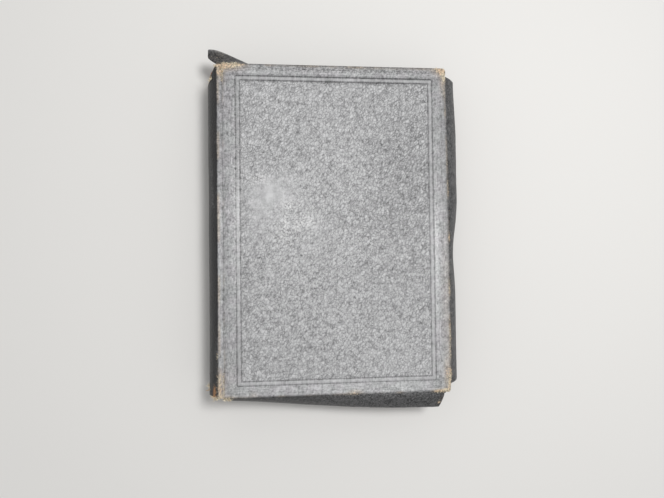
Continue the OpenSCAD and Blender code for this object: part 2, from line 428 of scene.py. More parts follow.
class Tree:
    """A node tree, shader or geometry, and the one way in which its nodes are added."""

    def __init__(self, data: bpy.types.NodeTree) -> None:
        """Keeps the tree."""
        self.data = data

    def node(
        self,
        kind: str,
        settings: Mapping[str, object] | None = None,
        inputs: Mapping[str | int, Value] | None = None,
    ) -> Outputs:
        """Adds one node.

        Args:
            kind: Blender's name for the type of node.
            settings: Properties of the node, which are set first.
            inputs: A value or a link for each socket, by name or number.

        Returns:
            The node's outputs.
        """
        made = self.data.nodes.new(kind)
        for key, value in (settings or {}).items():
            setattr(made, key, value)
        for key, value in (inputs or {}).items():
            if isinstance(key, int):
                socket = made.inputs[key]
            else:
                socket = next(s for s in made.inputs if s.name == key and s.enabled)
            if isinstance(value, Field):
                self.data.links.new(value.socket, socket)
            else:
                socket.default_value = value
        return Outputs(self, made)

    def blend(self, factor: Value, a: Value, b: Value, mode: str = "MIX") -> Field:
        """Mixes two colours.

        Args:
            factor: Share of the second colour.
            a: First colour.
            b: Second colour.
            mode: Blender's name for the way of mixing.

        Returns:
            The mixed colour.
        """
        settings = {"data_type": "RGBA", "blend_type": mode}
        colors = [v if isinstance(v, Field) else (*v, 1.0) for v in (a, b)]
        inputs = {"Factor": factor, "A": colors[0], "B": colors[1]}
        return self.node("ShaderNodeMix", settings, inputs)["Result"]

    def vector(self, operation: str, *values: Value) -> Field:
        """Adds a Vector Math node on these values and returns its vector."""
        inputs = dict(enumerate(values))
        return self.node("ShaderNodeVectorMath", {"operation": operation}, inputs)["Vector"]

    def scaled(self, vector: Field, factor: Value) -> Field:
        """Returns a vector times a number."""
        settings = {"operation": "SCALE"}
        inputs = {"Vector": vector, "Scale": factor}
        return self.node("ShaderNodeVectorMath", settings, inputs)["Vector"]

    def shows_backdrop(self) -> Field:
        """Returns 1 for the rays that see the backdrop: straight, mirrored or through glass."""
        rays = self.node("ShaderNodeLightPath")
        return rays["Is Camera Ray"].most(rays["Is Glossy Ray"]).most(rays["Is Transmission Ray"])

    def cloud(self, vector: Field, scale: float, detail: float = 2.0, rough: float = 0.5) -> Field:
        """Adds a Noise Texture.

        Args:
            vector: Where to read it.
            scale: How many swells to a unit of the vector.
            detail: How many finer layers it has.
            rough: How strong the finer layers are.

        Returns:
            Its value, from 0 to 1.
        """
        inputs = {"Vector": vector, "Scale": scale, "Detail": detail, "Roughness": rough}
        return self.node("ShaderNodeTexNoise", {}, inputs)[0]

    def cells(self, vector: Field, feature: str, scale: float = 1.0, flat: bool = False) -> Outputs:
        """Adds a Voronoi Texture, with its points in space or on a flat sheet, and returns its outputs."""
        settings = {"feature": feature, "voronoi_dimensions": "2D" if flat else "3D"}
        return self.node("ShaderNodeTexVoronoi", settings, {"Vector": vector, "Scale": scale})


class Shader(Tree):
    """The tree of a material with one Principled shader."""

    def __init__(self, name: str) -> None:
        """Makes the material, with an empty tree."""
        self.material = bpy.data.materials.new(name)
        self.material.use_nodes = True
        self.material.node_tree.nodes.clear()
        super().__init__(self.material.node_tree)

    def layer(self, name: str) -> Field:
        """Returns a point attribute's number."""
        return self.node("ShaderNodeAttribute", {"attribute_name": name})["Fac"]

    def layer_vector(self, name: str) -> Field:
        """Returns a point attribute's vector."""
        return self.node("ShaderNodeAttribute", {"attribute_name": name})["Vector"]

    def place(self) -> Field:
        """Returns Object coordinates in millimetres."""
        found = self.node("ShaderNodeTexCoord")["Object"]
        return self.scaled(found, 1.0 / MM)

    def bump(self, height: Field, depth: float, under: Field | None = None) -> Field:
        """Adds a Bump node.

        Args:
            height: Height of the surface, from 0 to 1.
            depth: What a height of 1 stands for, in millimetres.
            under: The normal of a coarser bump.

        Returns:
            The normal.
        """
        inputs: dict[str | int, Value] = {"Height": height, "Distance": depth * MM, "Strength": 1.0}
        if under is not None:
            inputs["Normal"] = under
        return self.node("ShaderNodeBump", {}, inputs)["Normal"]

    def finish(self, **inputs: Value) -> bpy.types.Material:
        """Adds the Principled shader and the output.

        Args:
            **inputs: Sockets of the shader, with underscores for the spaces in their names.

        Returns:
            The finished material.
        """
        named = {key.replace("_", " "): value for key, value in inputs.items()}
        shader = self.node("ShaderNodeBsdfPrincipled", {}, named)["BSDF"]
        self.node("ShaderNodeOutputMaterial", {}, {"Surface": shader})
        return self.material


class GeometryTree(Tree):
    """A Geometry Nodes tree with named inputs, put on an object and turned into a plain mesh."""

    def __init__(self, name: str, sizes: Mapping[str, float], material: bpy.types.Material) -> None:
        """Makes the tree and its interface.

        Args:
            name: Name of the tree.
            sizes: Each named input and its value, a float or a whole number.
            material: The material that the last node sets.
        """
        super().__init__(bpy.data.node_groups.new(name, "GeometryNodeTree"))
        self.sizes = dict(sizes)
        self.material = material
        face = self.data.interface
        face.new_socket("Geometry", in_out="INPUT", socket_type="NodeSocketGeometry")
        face.new_socket("Geometry", in_out="OUTPUT", socket_type="NodeSocketGeometry")
        for key, value in sizes.items():
            kind = "NodeSocketInt" if isinstance(value, int) else "NodeSocketFloat"
            face.new_socket(key, in_out="INPUT", socket_type=kind)
        self.given = self.node("NodeGroupInput")

    def end(self, geometry: Field) -> None:
        """Adds Realize Instances, Set Material and the output after this geometry."""
        real = self.node("GeometryNodeRealizeInstances", {}, {"Geometry": geometry})[0]
        inputs = {"Geometry": real, "Material": self.material}
        dressed = self.node("GeometryNodeSetMaterial", {}, inputs)[0]
        self.node("NodeGroupOutput", {}, {"Geometry": dressed})

    def apply(self, base: bpy.types.Object) -> bpy.types.Object:
        """Runs the tree on an object and keeps the result as its plain mesh.

        Args:
            base: The object that the tree starts from.

        Returns:
            The same object, with its new mesh and no modifier.
        """
        modifier = base.modifiers.new(self.data.name, "NODES")
        modifier.node_group = self.data
        for item in self.data.interface.items_tree:
            if item.in_out == "INPUT" and item.name in self.sizes:
                modifier[item.identifier] = self.sizes[item.name]
        graph = bpy.context.evaluated_depsgraph_get()
        mesh = bpy.data.meshes.new_from_object(base.evaluated_get(graph))
        base.modifiers.clear()
        base.data = mesh
        mesh.name = base.name
        return base


def mix_field(factor: Field, a: float, b: float) -> Field:
    """Returns the value that lies a share, given by a field, of the way from a to b."""
    return factor * (b - a) + a


def named_number(tree: Tree, name: str) -> Field:
    """Returns a point attribute's number in a geometry tree."""
    return tree.node("GeometryNodeInputNamedAttribute", {"data_type": "FLOAT"}, {"Name": name})["Attribute"]


def named_vector(tree: Tree, name: str) -> Field:
    """Returns a point attribute's vector in a geometry tree."""
    settings = {"data_type": "FLOAT_VECTOR"}
    return tree.node("GeometryNodeInputNamedAttribute", settings, {"Name": name})["Attribute"]


# Finishes


def shaded(color: Color, share: float) -> Color:
    """Returns a colour made darker, to a share of itself."""
    return tuple(share * c for c in color)


@dataclass(frozen=True)
class LeatherFinish:
    """Grained leather: dark, shown grey by a painted sheen, with painted shade in its creases, worn through
    to tan fibres at its folds.
    """

    name: str
    dark: Color
    sheen_grey: Color
    # Colour of the pale scuffs and of the painted glints.
    scuffed: Color = (0.84, 0.84, 0.83)
    fibre: Color = (0.72, 0.63, 0.46)
    flesh: Color = (0.72, 0.46, 0.29)
    warmth: Color = (1.06, 0.98, 0.9)
    mauve: Color = (1.014, 0.991, 1.01)
    green: Color = (0.985, 1.0, 0.99)
    raw: Color = (0.4, 0.18, 0.07)
    pebble: float = 1.45
    pebble_height: float = 0.07
    pebble_turn: float = 32.0
    pebble_stretch: tuple[float, float] = (1.15, 0.7)
    crease_level: float = 0.6
    # Painted shade in the grain's creases.
    crease_shade_tone: float = 0.66
    crease_shade_dark: float = 0.4
    crease_width: float = 0.13
    grain_depth: float = 0.12
    fibre_depth: float = 0.09
    roughness: float = 0.44
    specular: float = 0.3
    fleck: float = 0.5
    speckle_scale: float = 0.95
    streak_scales: tuple[float, float] = (1.5, 0.2)
    thread_scales: tuple[float, float] = (1.3, 2.6)
    broad_scale: float = 0.035
    drift_scale: float = 0.24
    tint_scale: float = 0.11
    hue_scale: float = 0.16
    fleck_scale: float = 0.13
    patch_tone: float = 0.34
    grit_tone: float = 1.4
    own_tone: float = 0.26
    clump_tone: float = 1.25
    streak_tone: float = 1.25
    margin_tone: float = 1.1
    scuff_and_glint_ramp: tuple[float, float] = (0.46, 0.58)
    fleck_ramp: tuple[float, float] = (0.03, 0.07)
    hue_ramp: tuple[float, float] = (0.35, 0.65)
    tint_ramp: tuple[float, float] = (0.4, 0.6)
    bare_ramp: tuple[float, float] = (0.62, 1.25)
    worn_ramp: tuple[float, float] = (0.04, 0.3)
    crack_ramp: tuple[float, float] = (0.32, 0.62)
    crack_dark: float = 0.34
    flesh_share: float = 0.65
    bare_share: float = 0.92
    raw_share: float = 0.85
    swirl_scale: float = 0.33
    swirl_reach: float = 1.5

    def build(self) -> bpy.types.Material:
        """Returns the material."""
        s = Shader(self.name)
        flat = s.layer_vector("flat")
        painted_sheen, wear, panel, grain = (s.layer(key) for key in ("painted_sheen", "wear", "panel", "grain"))
        warped = self.warped(s, flat)
        edge = s.cells(warped, "DISTANCE_TO_EDGE")["Distance"]
        tops = edge.ramp(0.0, self.crease_width)
        own = s.node("ShaderNodeSeparateColor", {}, {"Color": s.cells(warped, "F1")["Color"]})["Red"]
        speckle = s.cloud(flat, self.speckle_scale, 3.0, 0.75)
        clump = s.cloud(warped, self.speckle_scale, 2.0, 0.65)
        streaks = [s.cloud(s.vector("MULTIPLY", flat, (*way, 1.0)), 1.0, 3.0, 0.6)
                   for way in (self.streak_scales, self.streak_scales[::-1])]
        streak = streaks[0] + (streaks[1] - streaks[0]) * s.layer("ends")
        broad = s.cloud(flat, self.broad_scale, 3.0, 0.55)

        patch = (broad - 0.5) * self.patch_tone
        grit = (speckle - 0.5) * self.grit_tone
        pebbles = ((own - 0.5) * self.own_tone + (clump - 0.5) * self.clump_tone) * panel
        margin = ((streak - 0.5) * self.streak_tone + (clump - 0.5) * self.margin_tone) * (1.0 - panel)
        # Pale scuffs, with painted glints on the ridges beside the border.
        scuffs_and_glints = (speckle * 0.75 + streak * 0.25).ramp(*self.scuff_and_glint_ramp) * s.layer("scuff_and_glint")
        drift = (s.cloud(flat, self.drift_scale, 2.0, 0.5) - 0.5) * (0.18 + painted_sheen * 0.7)
        # Pale flecks on the margins are painted glints on the grain.
        dots = s.cells(flat, "F1", self.fleck_scale, flat=True)["Distance"]
        flecks = (1.0 - dots.ramp(*self.fleck_ramp)) * (1.0 - panel) * self.fleck
        mottle = ((grit + pebbles + margin) * (0.36 + painted_sheen * 0.64) + flecks * (0.3 + painted_sheen * 0.4)) * grain
        # Pebble tops a little paler on the dark leather: their wear, with a painted highlight.
        worn_lit_tops = (tops - self.crease_level) * panel * (0.16 - painted_sheen * 0.16)
        tone = (painted_sheen + patch * (painted_sheen * 0.8 + 0.2) + mottle + worn_lit_tops + drift).most(0.0)
        # Painted shade in the grain's creases.
        crease_shade = mix_field(tops, self.crease_shade_tone, 1.0) * panel + (1.0 - panel)
        # The leather itself is dark; the grey that the tone rises to is painted sheen.
        grey = s.blend(tone, self.dark, self.sheen_grey)
        casts = s.cloud(flat, self.tint_scale, 2.0, 0.6).ramp(*self.tint_ramp)
        tint = s.blend(casts, self.green, self.mauve)
        grey = s.blend((1.0 - panel) * grain, grey, s.blend(1.0, grey, tint, "MULTIPLY"))
        grey = s.blend(crease_shade, shaded(self.dark, self.crease_shade_dark), grey)
        grey = s.blend(scuffs_and_glints, grey, self.scuffed)

        threads = s.cloud(s.vector("MULTIPLY", flat, (*self.thread_scales, 1.0)), 1.0, 3.0, 0.75)
        worn = wear.least(1.0)
        frayed = worn * 1.15 + (threads - 0.5) * 1.9 + (speckle - 0.5) * 1.5
        bare = frayed.ramp(*self.bare_ramp) * worn.ramp(*self.worn_ramp)
        hue = s.cloud(flat, self.hue_scale, 2.0, 0.5).ramp(*self.hue_ramp)
        tan = s.blend(hue * worn.ramp(0.2, 0.9) * self.flesh_share, self.fibre, self.flesh)
        tan = s.blend(speckle.ramp(*self.crack_ramp), shaded(self.fibre, self.crack_dark), tan)
        raw = s.layer("raw")
        torn = (raw + (clump - 0.5) * 1.9 * raw.ramp(0.05, 0.4)).ramp(0.3, 0.7)
        tan = s.blend(torn * self.raw_share, tan, self.raw)
        warm = s.blend(worn.ramp(0.03, 0.55), grey, s.blend(1.0, grey, self.warmth, "MULTIPLY"))
        colour = s.blend(bare * self.bare_share, warm, tan)

        coarse = s.bump(tops * panel + clump * panel * 0.5, self.grain_depth)
        fine = speckle * 0.55 + threads * bare * 1.5 + streak * (1.0 - panel) * 0.4
        normal = s.bump(fine, self.fibre_depth, coarse)
        shine = self.roughness + bare * 0.35 + (1.0 - tops) * panel * 0.12 + painted_sheen * 0.1
        return s.finish(Base_Color=colour, Roughness=shine, Normal=normal, Specular_IOR_Level=self.specular)

    def warped(self, tree: Tree, flat: Field) -> Field:
        """Returns the hide's flat coordinates, bent and stretched to the pebbles' size.

        Args:
            tree: The tree to add nodes to.
            flat: The hide's flat coordinates, in millimetres.

        Returns:
            Coordinates in which a pebble is one unit wide.
        """
        inputs = {"Vector": flat, "Scale": self.swirl_scale, "Detail": 1.0}
        swirl = tree.node("ShaderNodeTexNoise", {}, inputs)["Color"]
        bent = tree.vector("MULTIPLY_ADD", swirl, (self.swirl_reach, self.swirl_reach, 0.0), flat)
        inputs = {"Vector": bent, "Angle": math.radians(self.pebble_turn)}
        turned = tree.node("ShaderNodeVectorRotate", {"rotation_type": "Z_AXIS"}, inputs)["Vector"]
        size = tuple(stretch / self.pebble for stretch in self.pebble_stretch)
        return tree.vector("MULTIPLY", turned, (*size, 0.0))

    def grain_tree(self, material: bpy.types.Material) -> GeometryTree:
        """Returns a tree that raises the pebbles of the grain on a mesh of hide.

        Args:
            material: The hide's material, which the tree sets.

        Returns:
            The tree.
        """
        tree = GeometryTree(self.name + "_grain", {"Pebble height": self.pebble_height}, material)
        flat = named_vector(tree, "flat")
        edge = tree.cells(self.warped(tree, flat), "DISTANCE_TO_EDGE")["Distance"]
        panel, skin = named_number(tree, "panel"), named_number(tree, "skin")
        rise = (edge.ramp(0.0, self.crease_width) - self.crease_level) * panel * skin
        height = rise * tree.given["Pebble height"] * MM
        push = tree.scaled(tree.node("GeometryNodeInputNormal")[0], height)
        inputs = {"Geometry": tree.given["Geometry"], "Offset": push}
        tree.end(tree.node("GeometryNodeSetPosition", {}, inputs)[0])
        return tree


@dataclass(frozen=True)
class PaperFinish:
    """Aged paper, with brown spots and a darker edge."""

    name: str
    colour: Color
    stain: Color
    spots: float = 0.6
    spot_dark: float = 0.55
    fibre_dark: float = 0.78

    def build(self) -> bpy.types.Material:
        """Returns the material."""
        s = Shader(self.name)
        place = s.place()
        broad = s.cloud(place, 0.03, 3.0, 0.55)
        fleck = s.cloud(place, 0.28, 2.0, 0.5).ramp(0.62, 0.78) * self.spots
        fibres = s.cloud(s.vector("MULTIPLY", place, (1.0, 2.6, 1.0)), 1.4, 4.0, 0.6)
        aged = s.blend(broad.ramp(0.35, 0.75) * 0.55, self.colour, self.stain)
        aged = s.blend(fleck, aged, shaded(self.stain, self.spot_dark))
        aged = s.blend(fibres * 0.22, aged, shaded(self.colour, self.fibre_dark))
        normal = s.bump(fibres, 0.05)
        return s.finish(Base_Color=aged, Roughness=0.86, Normal=normal, Specular_IOR_Level=0.3)


@dataclass(frozen=True)
class PageEdgeFinish:
    """The cut edges of the pages, stained red and faded where they are handled."""

    name: str = "page_edges"
    stained: Color = (0.27, 0.045, 0.035)
    faded: Color = (0.46, 0.2, 0.14)
    shadow: Color = (0.06, 0.012, 0.01)
    leaf: float = 0.16

    def build(self) -> bpy.types.Material:
        """Returns the material."""
        s = Shader(self.name)
        place = s.place()
        along = s.vector("MULTIPLY", place, (0.03, 0.03, 1.0 / self.leaf))
        leaves = s.cloud(along, 1.0, 3.0, 0.7)
        sheets = s.cloud(s.vector("MULTIPLY", place, (0.012, 0.012, 1.1)), 1.0, 2.0, 0.5)
        patches = s.cloud(place, 0.06, 3.0, 0.6)
        pale = (leaves * 0.5 + patches * 0.6 + sheets * 0.3 - 0.45).ramp(0.05, 0.55)
        colour = s.blend(pale, self.stained, self.faded)
        colour = s.blend((0.5 - leaves).ramp(0.0, 0.22) * 0.6, colour, self.shadow)
        normal = s.bump(leaves + sheets * 0.8, 0.14)
        return s.finish(Base_Color=colour, Roughness=0.66, Normal=normal, Specular_IOR_Level=0.35)


@dataclass(frozen=True)
class WovenFinish:
    """Open-weave cloth, glued down, seen only inside the joints."""

    name: str
    colour: Color
    gap: Color
    pitch: float = 0.7

    def build(self) -> bpy.types.Material:
        """Returns the material."""
        s = Shader(self.name)
        place = s.place()
        inputs = {"Vector": place, "Scale": (1.0 / self.pitch,) * 3}
        pitches = s.node("ShaderNodeMapping", {}, inputs)["Vector"]
        parts = s.node("ShaderNodeSeparateXYZ", {}, {"Vector": pitches})
        warp, weft = (self.round_thread(parts[axis].remainder(1.0)) for axis in ("Z", "Y"))
        thread = warp.most(weft)
        colour = s.blend(thread, self.gap, self.colour)
        dirt = s.cloud(place, 0.2, 3.0, 0.6)
        colour = s.blend(dirt * 0.4, colour, self.gap)
        normal = s.bump(thread, 0.2)
        return s.finish(Base_Color=colour, Roughness=0.9, Normal=normal, Specular_IOR_Level=0.2)

    @staticmethod
    def round_thread(across: Field) -> Field:
        """Returns the height of a thread at a share of the way across its pitch."""
        return across.ramp(0.0, 0.5) * (1.0 - across.ramp(0.5, 1.0))


@dataclass(frozen=True)
class BoardFinish:
    """Grey-brown card or brown paper with visible fibres."""

    name: str
    colour: Color
    dark: Color

    def build(self) -> bpy.types.Material:
        """Returns the material."""
        s = Shader(self.name)
        place = s.place()
        fibres = s.cloud(s.vector("MULTIPLY", place, (1.0, 0.3, 1.0)), 2.2, 4.0, 0.65)
        patches = s.cloud(place, 0.12, 3.0, 0.55)
        colour = s.blend(fibres.ramp(0.3, 0.75), self.dark, self.colour)
        colour = s.blend(patches.ramp(0.45, 0.8) * 0.4, colour, self.dark)
        normal = s.bump(fibres, 0.12)
        return s.finish(Base_Color=colour, Roughness=0.88, Normal=normal, Specular_IOR_Level=0.25)


@dataclass(frozen=True)
class ThreadFinish:
    """Sewing thread in two colours, told apart by an attribute of each wrap."""

    name: str = "band_thread"
    red: Color = (0.36, 0.05, 0.04)
    cream: Color = (0.56, 0.47, 0.31)
    shadow: Color = (0.1, 0.06, 0.04)

    def build(self) -> bpy.types.Material:
        """Returns the material."""
        s = Shader(self.name)
        place = s.place()
        twist = s.cloud(s.vector("MULTIPLY", place, (1.0, 1.0, 5.0)), 1.6, 2.0, 0.6)
        colour = s.blend(s.layer("stripe"), self.red, self.cream)
        colour = s.blend(twist * 0.5, colour, self.shadow)
        normal = s.bump(twist, 0.08)
        return s.finish(Base_Color=colour, Roughness=0.7, Normal=normal, Specular_IOR_Level=0.3)


@dataclass(frozen=True)
class FibreFinish:
    """Loose fibres of worn leather, from cream to brown."""

    name: str = "leather_fibres"
    pale: Color = (0.8, 0.73, 0.57)
    brown: Color = (0.4, 0.27, 0.15)

    def build(self) -> bpy.types.Material:
        """Returns the material."""
        s = Shader(self.name)
        pick = s.cloud(s.place(), 0.7, 2.0, 0.6)
        colour = s.blend(pick.ramp(0.32, 0.56), self.brown, self.pale)
        return s.finish(Base_Color=colour, Roughness=0.85, Specular_IOR_Level=0.2)


@dataclass(frozen=True)
class FloorFinish:
    """The plain pale floor."""

    name: str = "floor"
    colour: Color = (0.72, 0.71, 0.69)
    backdrop: float = BACKDROP
    far_start: float = 190.0
    far_end: float = 560.0

    def build(self) -> bpy.types.Material:
        """Returns the material, which passes into the backdrop's tone far from the book."""
        s = Shader(self.name)
        place = s.place()
        grain = s.cloud(place, 0.02, 2.0, 0.5)
        colour = s.blend(grain * 0.06, self.colour, shaded(self.colour, 0.9))
        inputs = {"Base Color": colour, "Roughness": 0.9, "Specular IOR Level": 0.1}
        near = s.node("ShaderNodeBsdfPrincipled", {}, inputs)["BSDF"]
        far = s.node("ShaderNodeEmission", {}, {"Strength": self.backdrop})["Emission"]
        distance = s.node("ShaderNodeVectorMath", {"operation": "LENGTH"}, {0: place})["Value"]
        share = distance.ramp(self.far_start, self.far_end) * s.shows_backdrop()
        mixed = s.node("ShaderNodeMixShader", {}, {0: share, 1: near, 2: far})["Shader"]
        s.node("ShaderNodeOutputMaterial", {}, {"Surface": mixed})
        return s.material


@dataclass
class Finishes:
    """Every material of the book, made once."""

    # Dark leather, and the grey of its painted sheen.
    leather: LeatherFinish = LeatherFinish("cover_leather", (0.013, 0.0133, 0.0145), (0.525, 0.525, 0.53))
    made: dict[str, bpy.types.Material] = field(default_factory=dict)

    def build(self) -> None:
        """Makes the materials."""
        kinds = [
            self.leather,
            PaperFinish("endpaper", (0.68, 0.59, 0.42), (0.5, 0.37, 0.2)),
            PaperFinish("flyleaf", (0.7, 0.62, 0.46), (0.52, 0.4, 0.23), 0.8),
            PageEdgeFinish(),
            WovenFinish("mull_cloth", (0.6, 0.53, 0.39), (0.28, 0.2, 0.12)),
            BoardFinish("board_card", (0.44, 0.36, 0.25), (0.26, 0.2, 0.13)),
            BoardFinish("lining_paper", (0.4, 0.27, 0.15), (0.2, 0.12, 0.06)),
            ThreadFinish(),
            FibreFinish(),
            FloorFinish(),
        ]
        for kind in kinds:
            self.made[kind.name] = kind.build()

    def __getitem__(self, name: str) -> bpy.types.Material:
        """Returns a material by its name."""
        return self.made[name]

    def grained(self, piece: bpy.types.Object) -> bpy.types.Object:
        """Returns a piece of hide with its pebbles raised."""
        return self.leather.grain_tree(self["cover_leather"]).apply(piece)


# The plan of the book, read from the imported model


@dataclass(frozen=True)
class Plan:
    """The main lines of the book, in millimetres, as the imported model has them."""

    board_x: float
    board_end_x: float
    board_end_y: float
    thickness: float
    hinge_x: float
    page_x: float
    page_y: float
    page_low: float
    page_high: float
    shoulder_x: float
    rim: float = 0.6
    fold_in: float = 2.2
    leather: float = 0.8
    seam: float = 0.02
    joint_half: float = 0.15
    groove_depth: float = 0.3
    groove_half: float = 0.75
    bulge: float = 6.0
    page_back_r: float = 18.92

    @classmethod
    def from_frame(cls) -> "Plan":
        """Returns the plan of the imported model."""
        board_low, board_high = (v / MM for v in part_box("front_board"))
        leaf_low, leaf_high = (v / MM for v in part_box("front_flyleaf"))
        back_leaf_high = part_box("back_flyleaf")[1] / MM
        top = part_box("front_leather")[1][2] / MM
        joint = next(j for j in frame["joints"] if j["name"] == "front_cover_hinge")
        return cls(
            board_x=board_low.x,
            board_end_x=board_high.x,
            board_end_y=board_high.y,
            thickness=top,
            hinge_x=joint["pos_m"][0] / MM,
            page_x=leaf_high.x,
            page_y=leaf_high.y,
            page_low=back_leaf_high.z,
            page_high=leaf_low.z,
            shoulder_x=leaf_low.x,
        )

    @property
    def spine_r(self) -> float:
        """Radius of the rounded spine's outer face."""
        return (self.middle**2 + self.bulge**2) / (2.0 * self.bulge)

    @property
    def spine_x(self) -> float:
        """Place of the middle line that the rounded spine's faces turn round."""
        return -self.fold_x - self.bulge + self.spine_r

    @property
    def middle(self) -> float:
        """Height of the middle of the book."""
        return self.thickness / 2.0

    @property
    def root_x(self) -> float:
        """Place of the root of the fore-edge flap."""
        return self.board_end_x + self.rim

    @property
    def root_y(self) -> float:
        """Place of the root of the head flap."""
        return self.board_end_y + self.rim

    @property
    def fold_x(self) -> float:
        """Place of the fold at the fore edge."""
        return self.root_x + self.fold_in

    @property
    def fold_y(self) -> float:
        """Place of the fold at the head."""
        return self.root_y + self.fold_in

    def height(self, cover: Cover, depth: Array | float) -> Array | float:
        """Returns the height of a point that lies a depth inside a cover's outer face."""
        return self.thickness - depth if cover.front else depth

    def groove(self, x: Array) -> Array:
        """Returns how deep the joint's groove is pressed in at each place across the book."""
        return self.groove_depth * bell(x - self.hinge_x, self.groove_half)

    def page_back(self, height: Array) -> Array:
        """Returns the place of the pages' rounded back at each height."""
        return self.spine_x - np.sqrt(self.page_back_r**2 - (height - self.middle) ** 2)


# The hide


@dataclass(frozen=True)
class FoldSection:
    """The section of a flap: flat from its root, round at the fold, then down to its free edge."""

    flat: float = 1.3
    radius: float = 1.45

    def run(
        self,
        flare: Array,
        drop: Array,
        share: Array,
        fold_in: float,
        swell: Array | float,
        bulge: Array | float = 0.0,
    ) -> tuple[Array, Array, Array]:
        """Returns points of the section.

        Args:
            flare: Lean of the free edge past the fold.
            drop: Depth of the free edge below the cover's face.
            share: Share of the way from the root to the free edge.
            fold_in: Distance from the root to the fold.
            swell: How far the flap's middle stands out past a straight line.
            bulge: How much wider the flat part is, which pushes the fold out.

        Returns:
            Distance out from the root, depth below the face, and length of the leather so far.
        """
        flat = self.flat + bulge
        dx, dy = fold_in + flare - flat, drop - self.radius
        reach = np.hypot(dx, dy)
        turn = np.arctan2(dy, dx) + np.arcsin(self.radius / reach)
        straight = np.sqrt(reach**2 - self.radius**2)
        bend_end = flat + self.radius * turn
        s = share * (bend_end + straight)
        t = np.clip((s - flat) / self.radius, 0.0, turn)
        rest = np.maximum(s - bend_end, 0.0)
        along = rest / straight
        belly = swell * 4.0 * along * (1.0 - along)
        out = np.minimum(s, flat) + self.radius * np.sin(t) + rest * np.cos(turn) + belly * np.sin(turn)
        down = self.radius * (1.0 - np.cos(t)) + rest * np.sin(turn) - belly * np.cos(turn)
        return out, down, s


@dataclass(frozen=True)
class Spot:
    """A soft spot on a cover, by its middle, half sizes and strength, used for wear, painted sheen, smooth
    grain and scuffs.
    """

    x: float
    y: float
    wide: float
    tall: float
    strength: float

    def at(self, x: Array, y: Array) -> Array:
        """Returns how strong the spot is at each point."""
        across, along = (x - self.x) / self.wide, (y - self.y) / self.tall
        return self.strength * np.exp(-(across**2) - along**2)


def spotted(spots: Sequence[Spot], x: Array, y: Array) -> Array:
    """Returns how strong the spots are together at each point."""
    return sum((spot.at(x, y) for spot in spots), np.zeros_like(x))


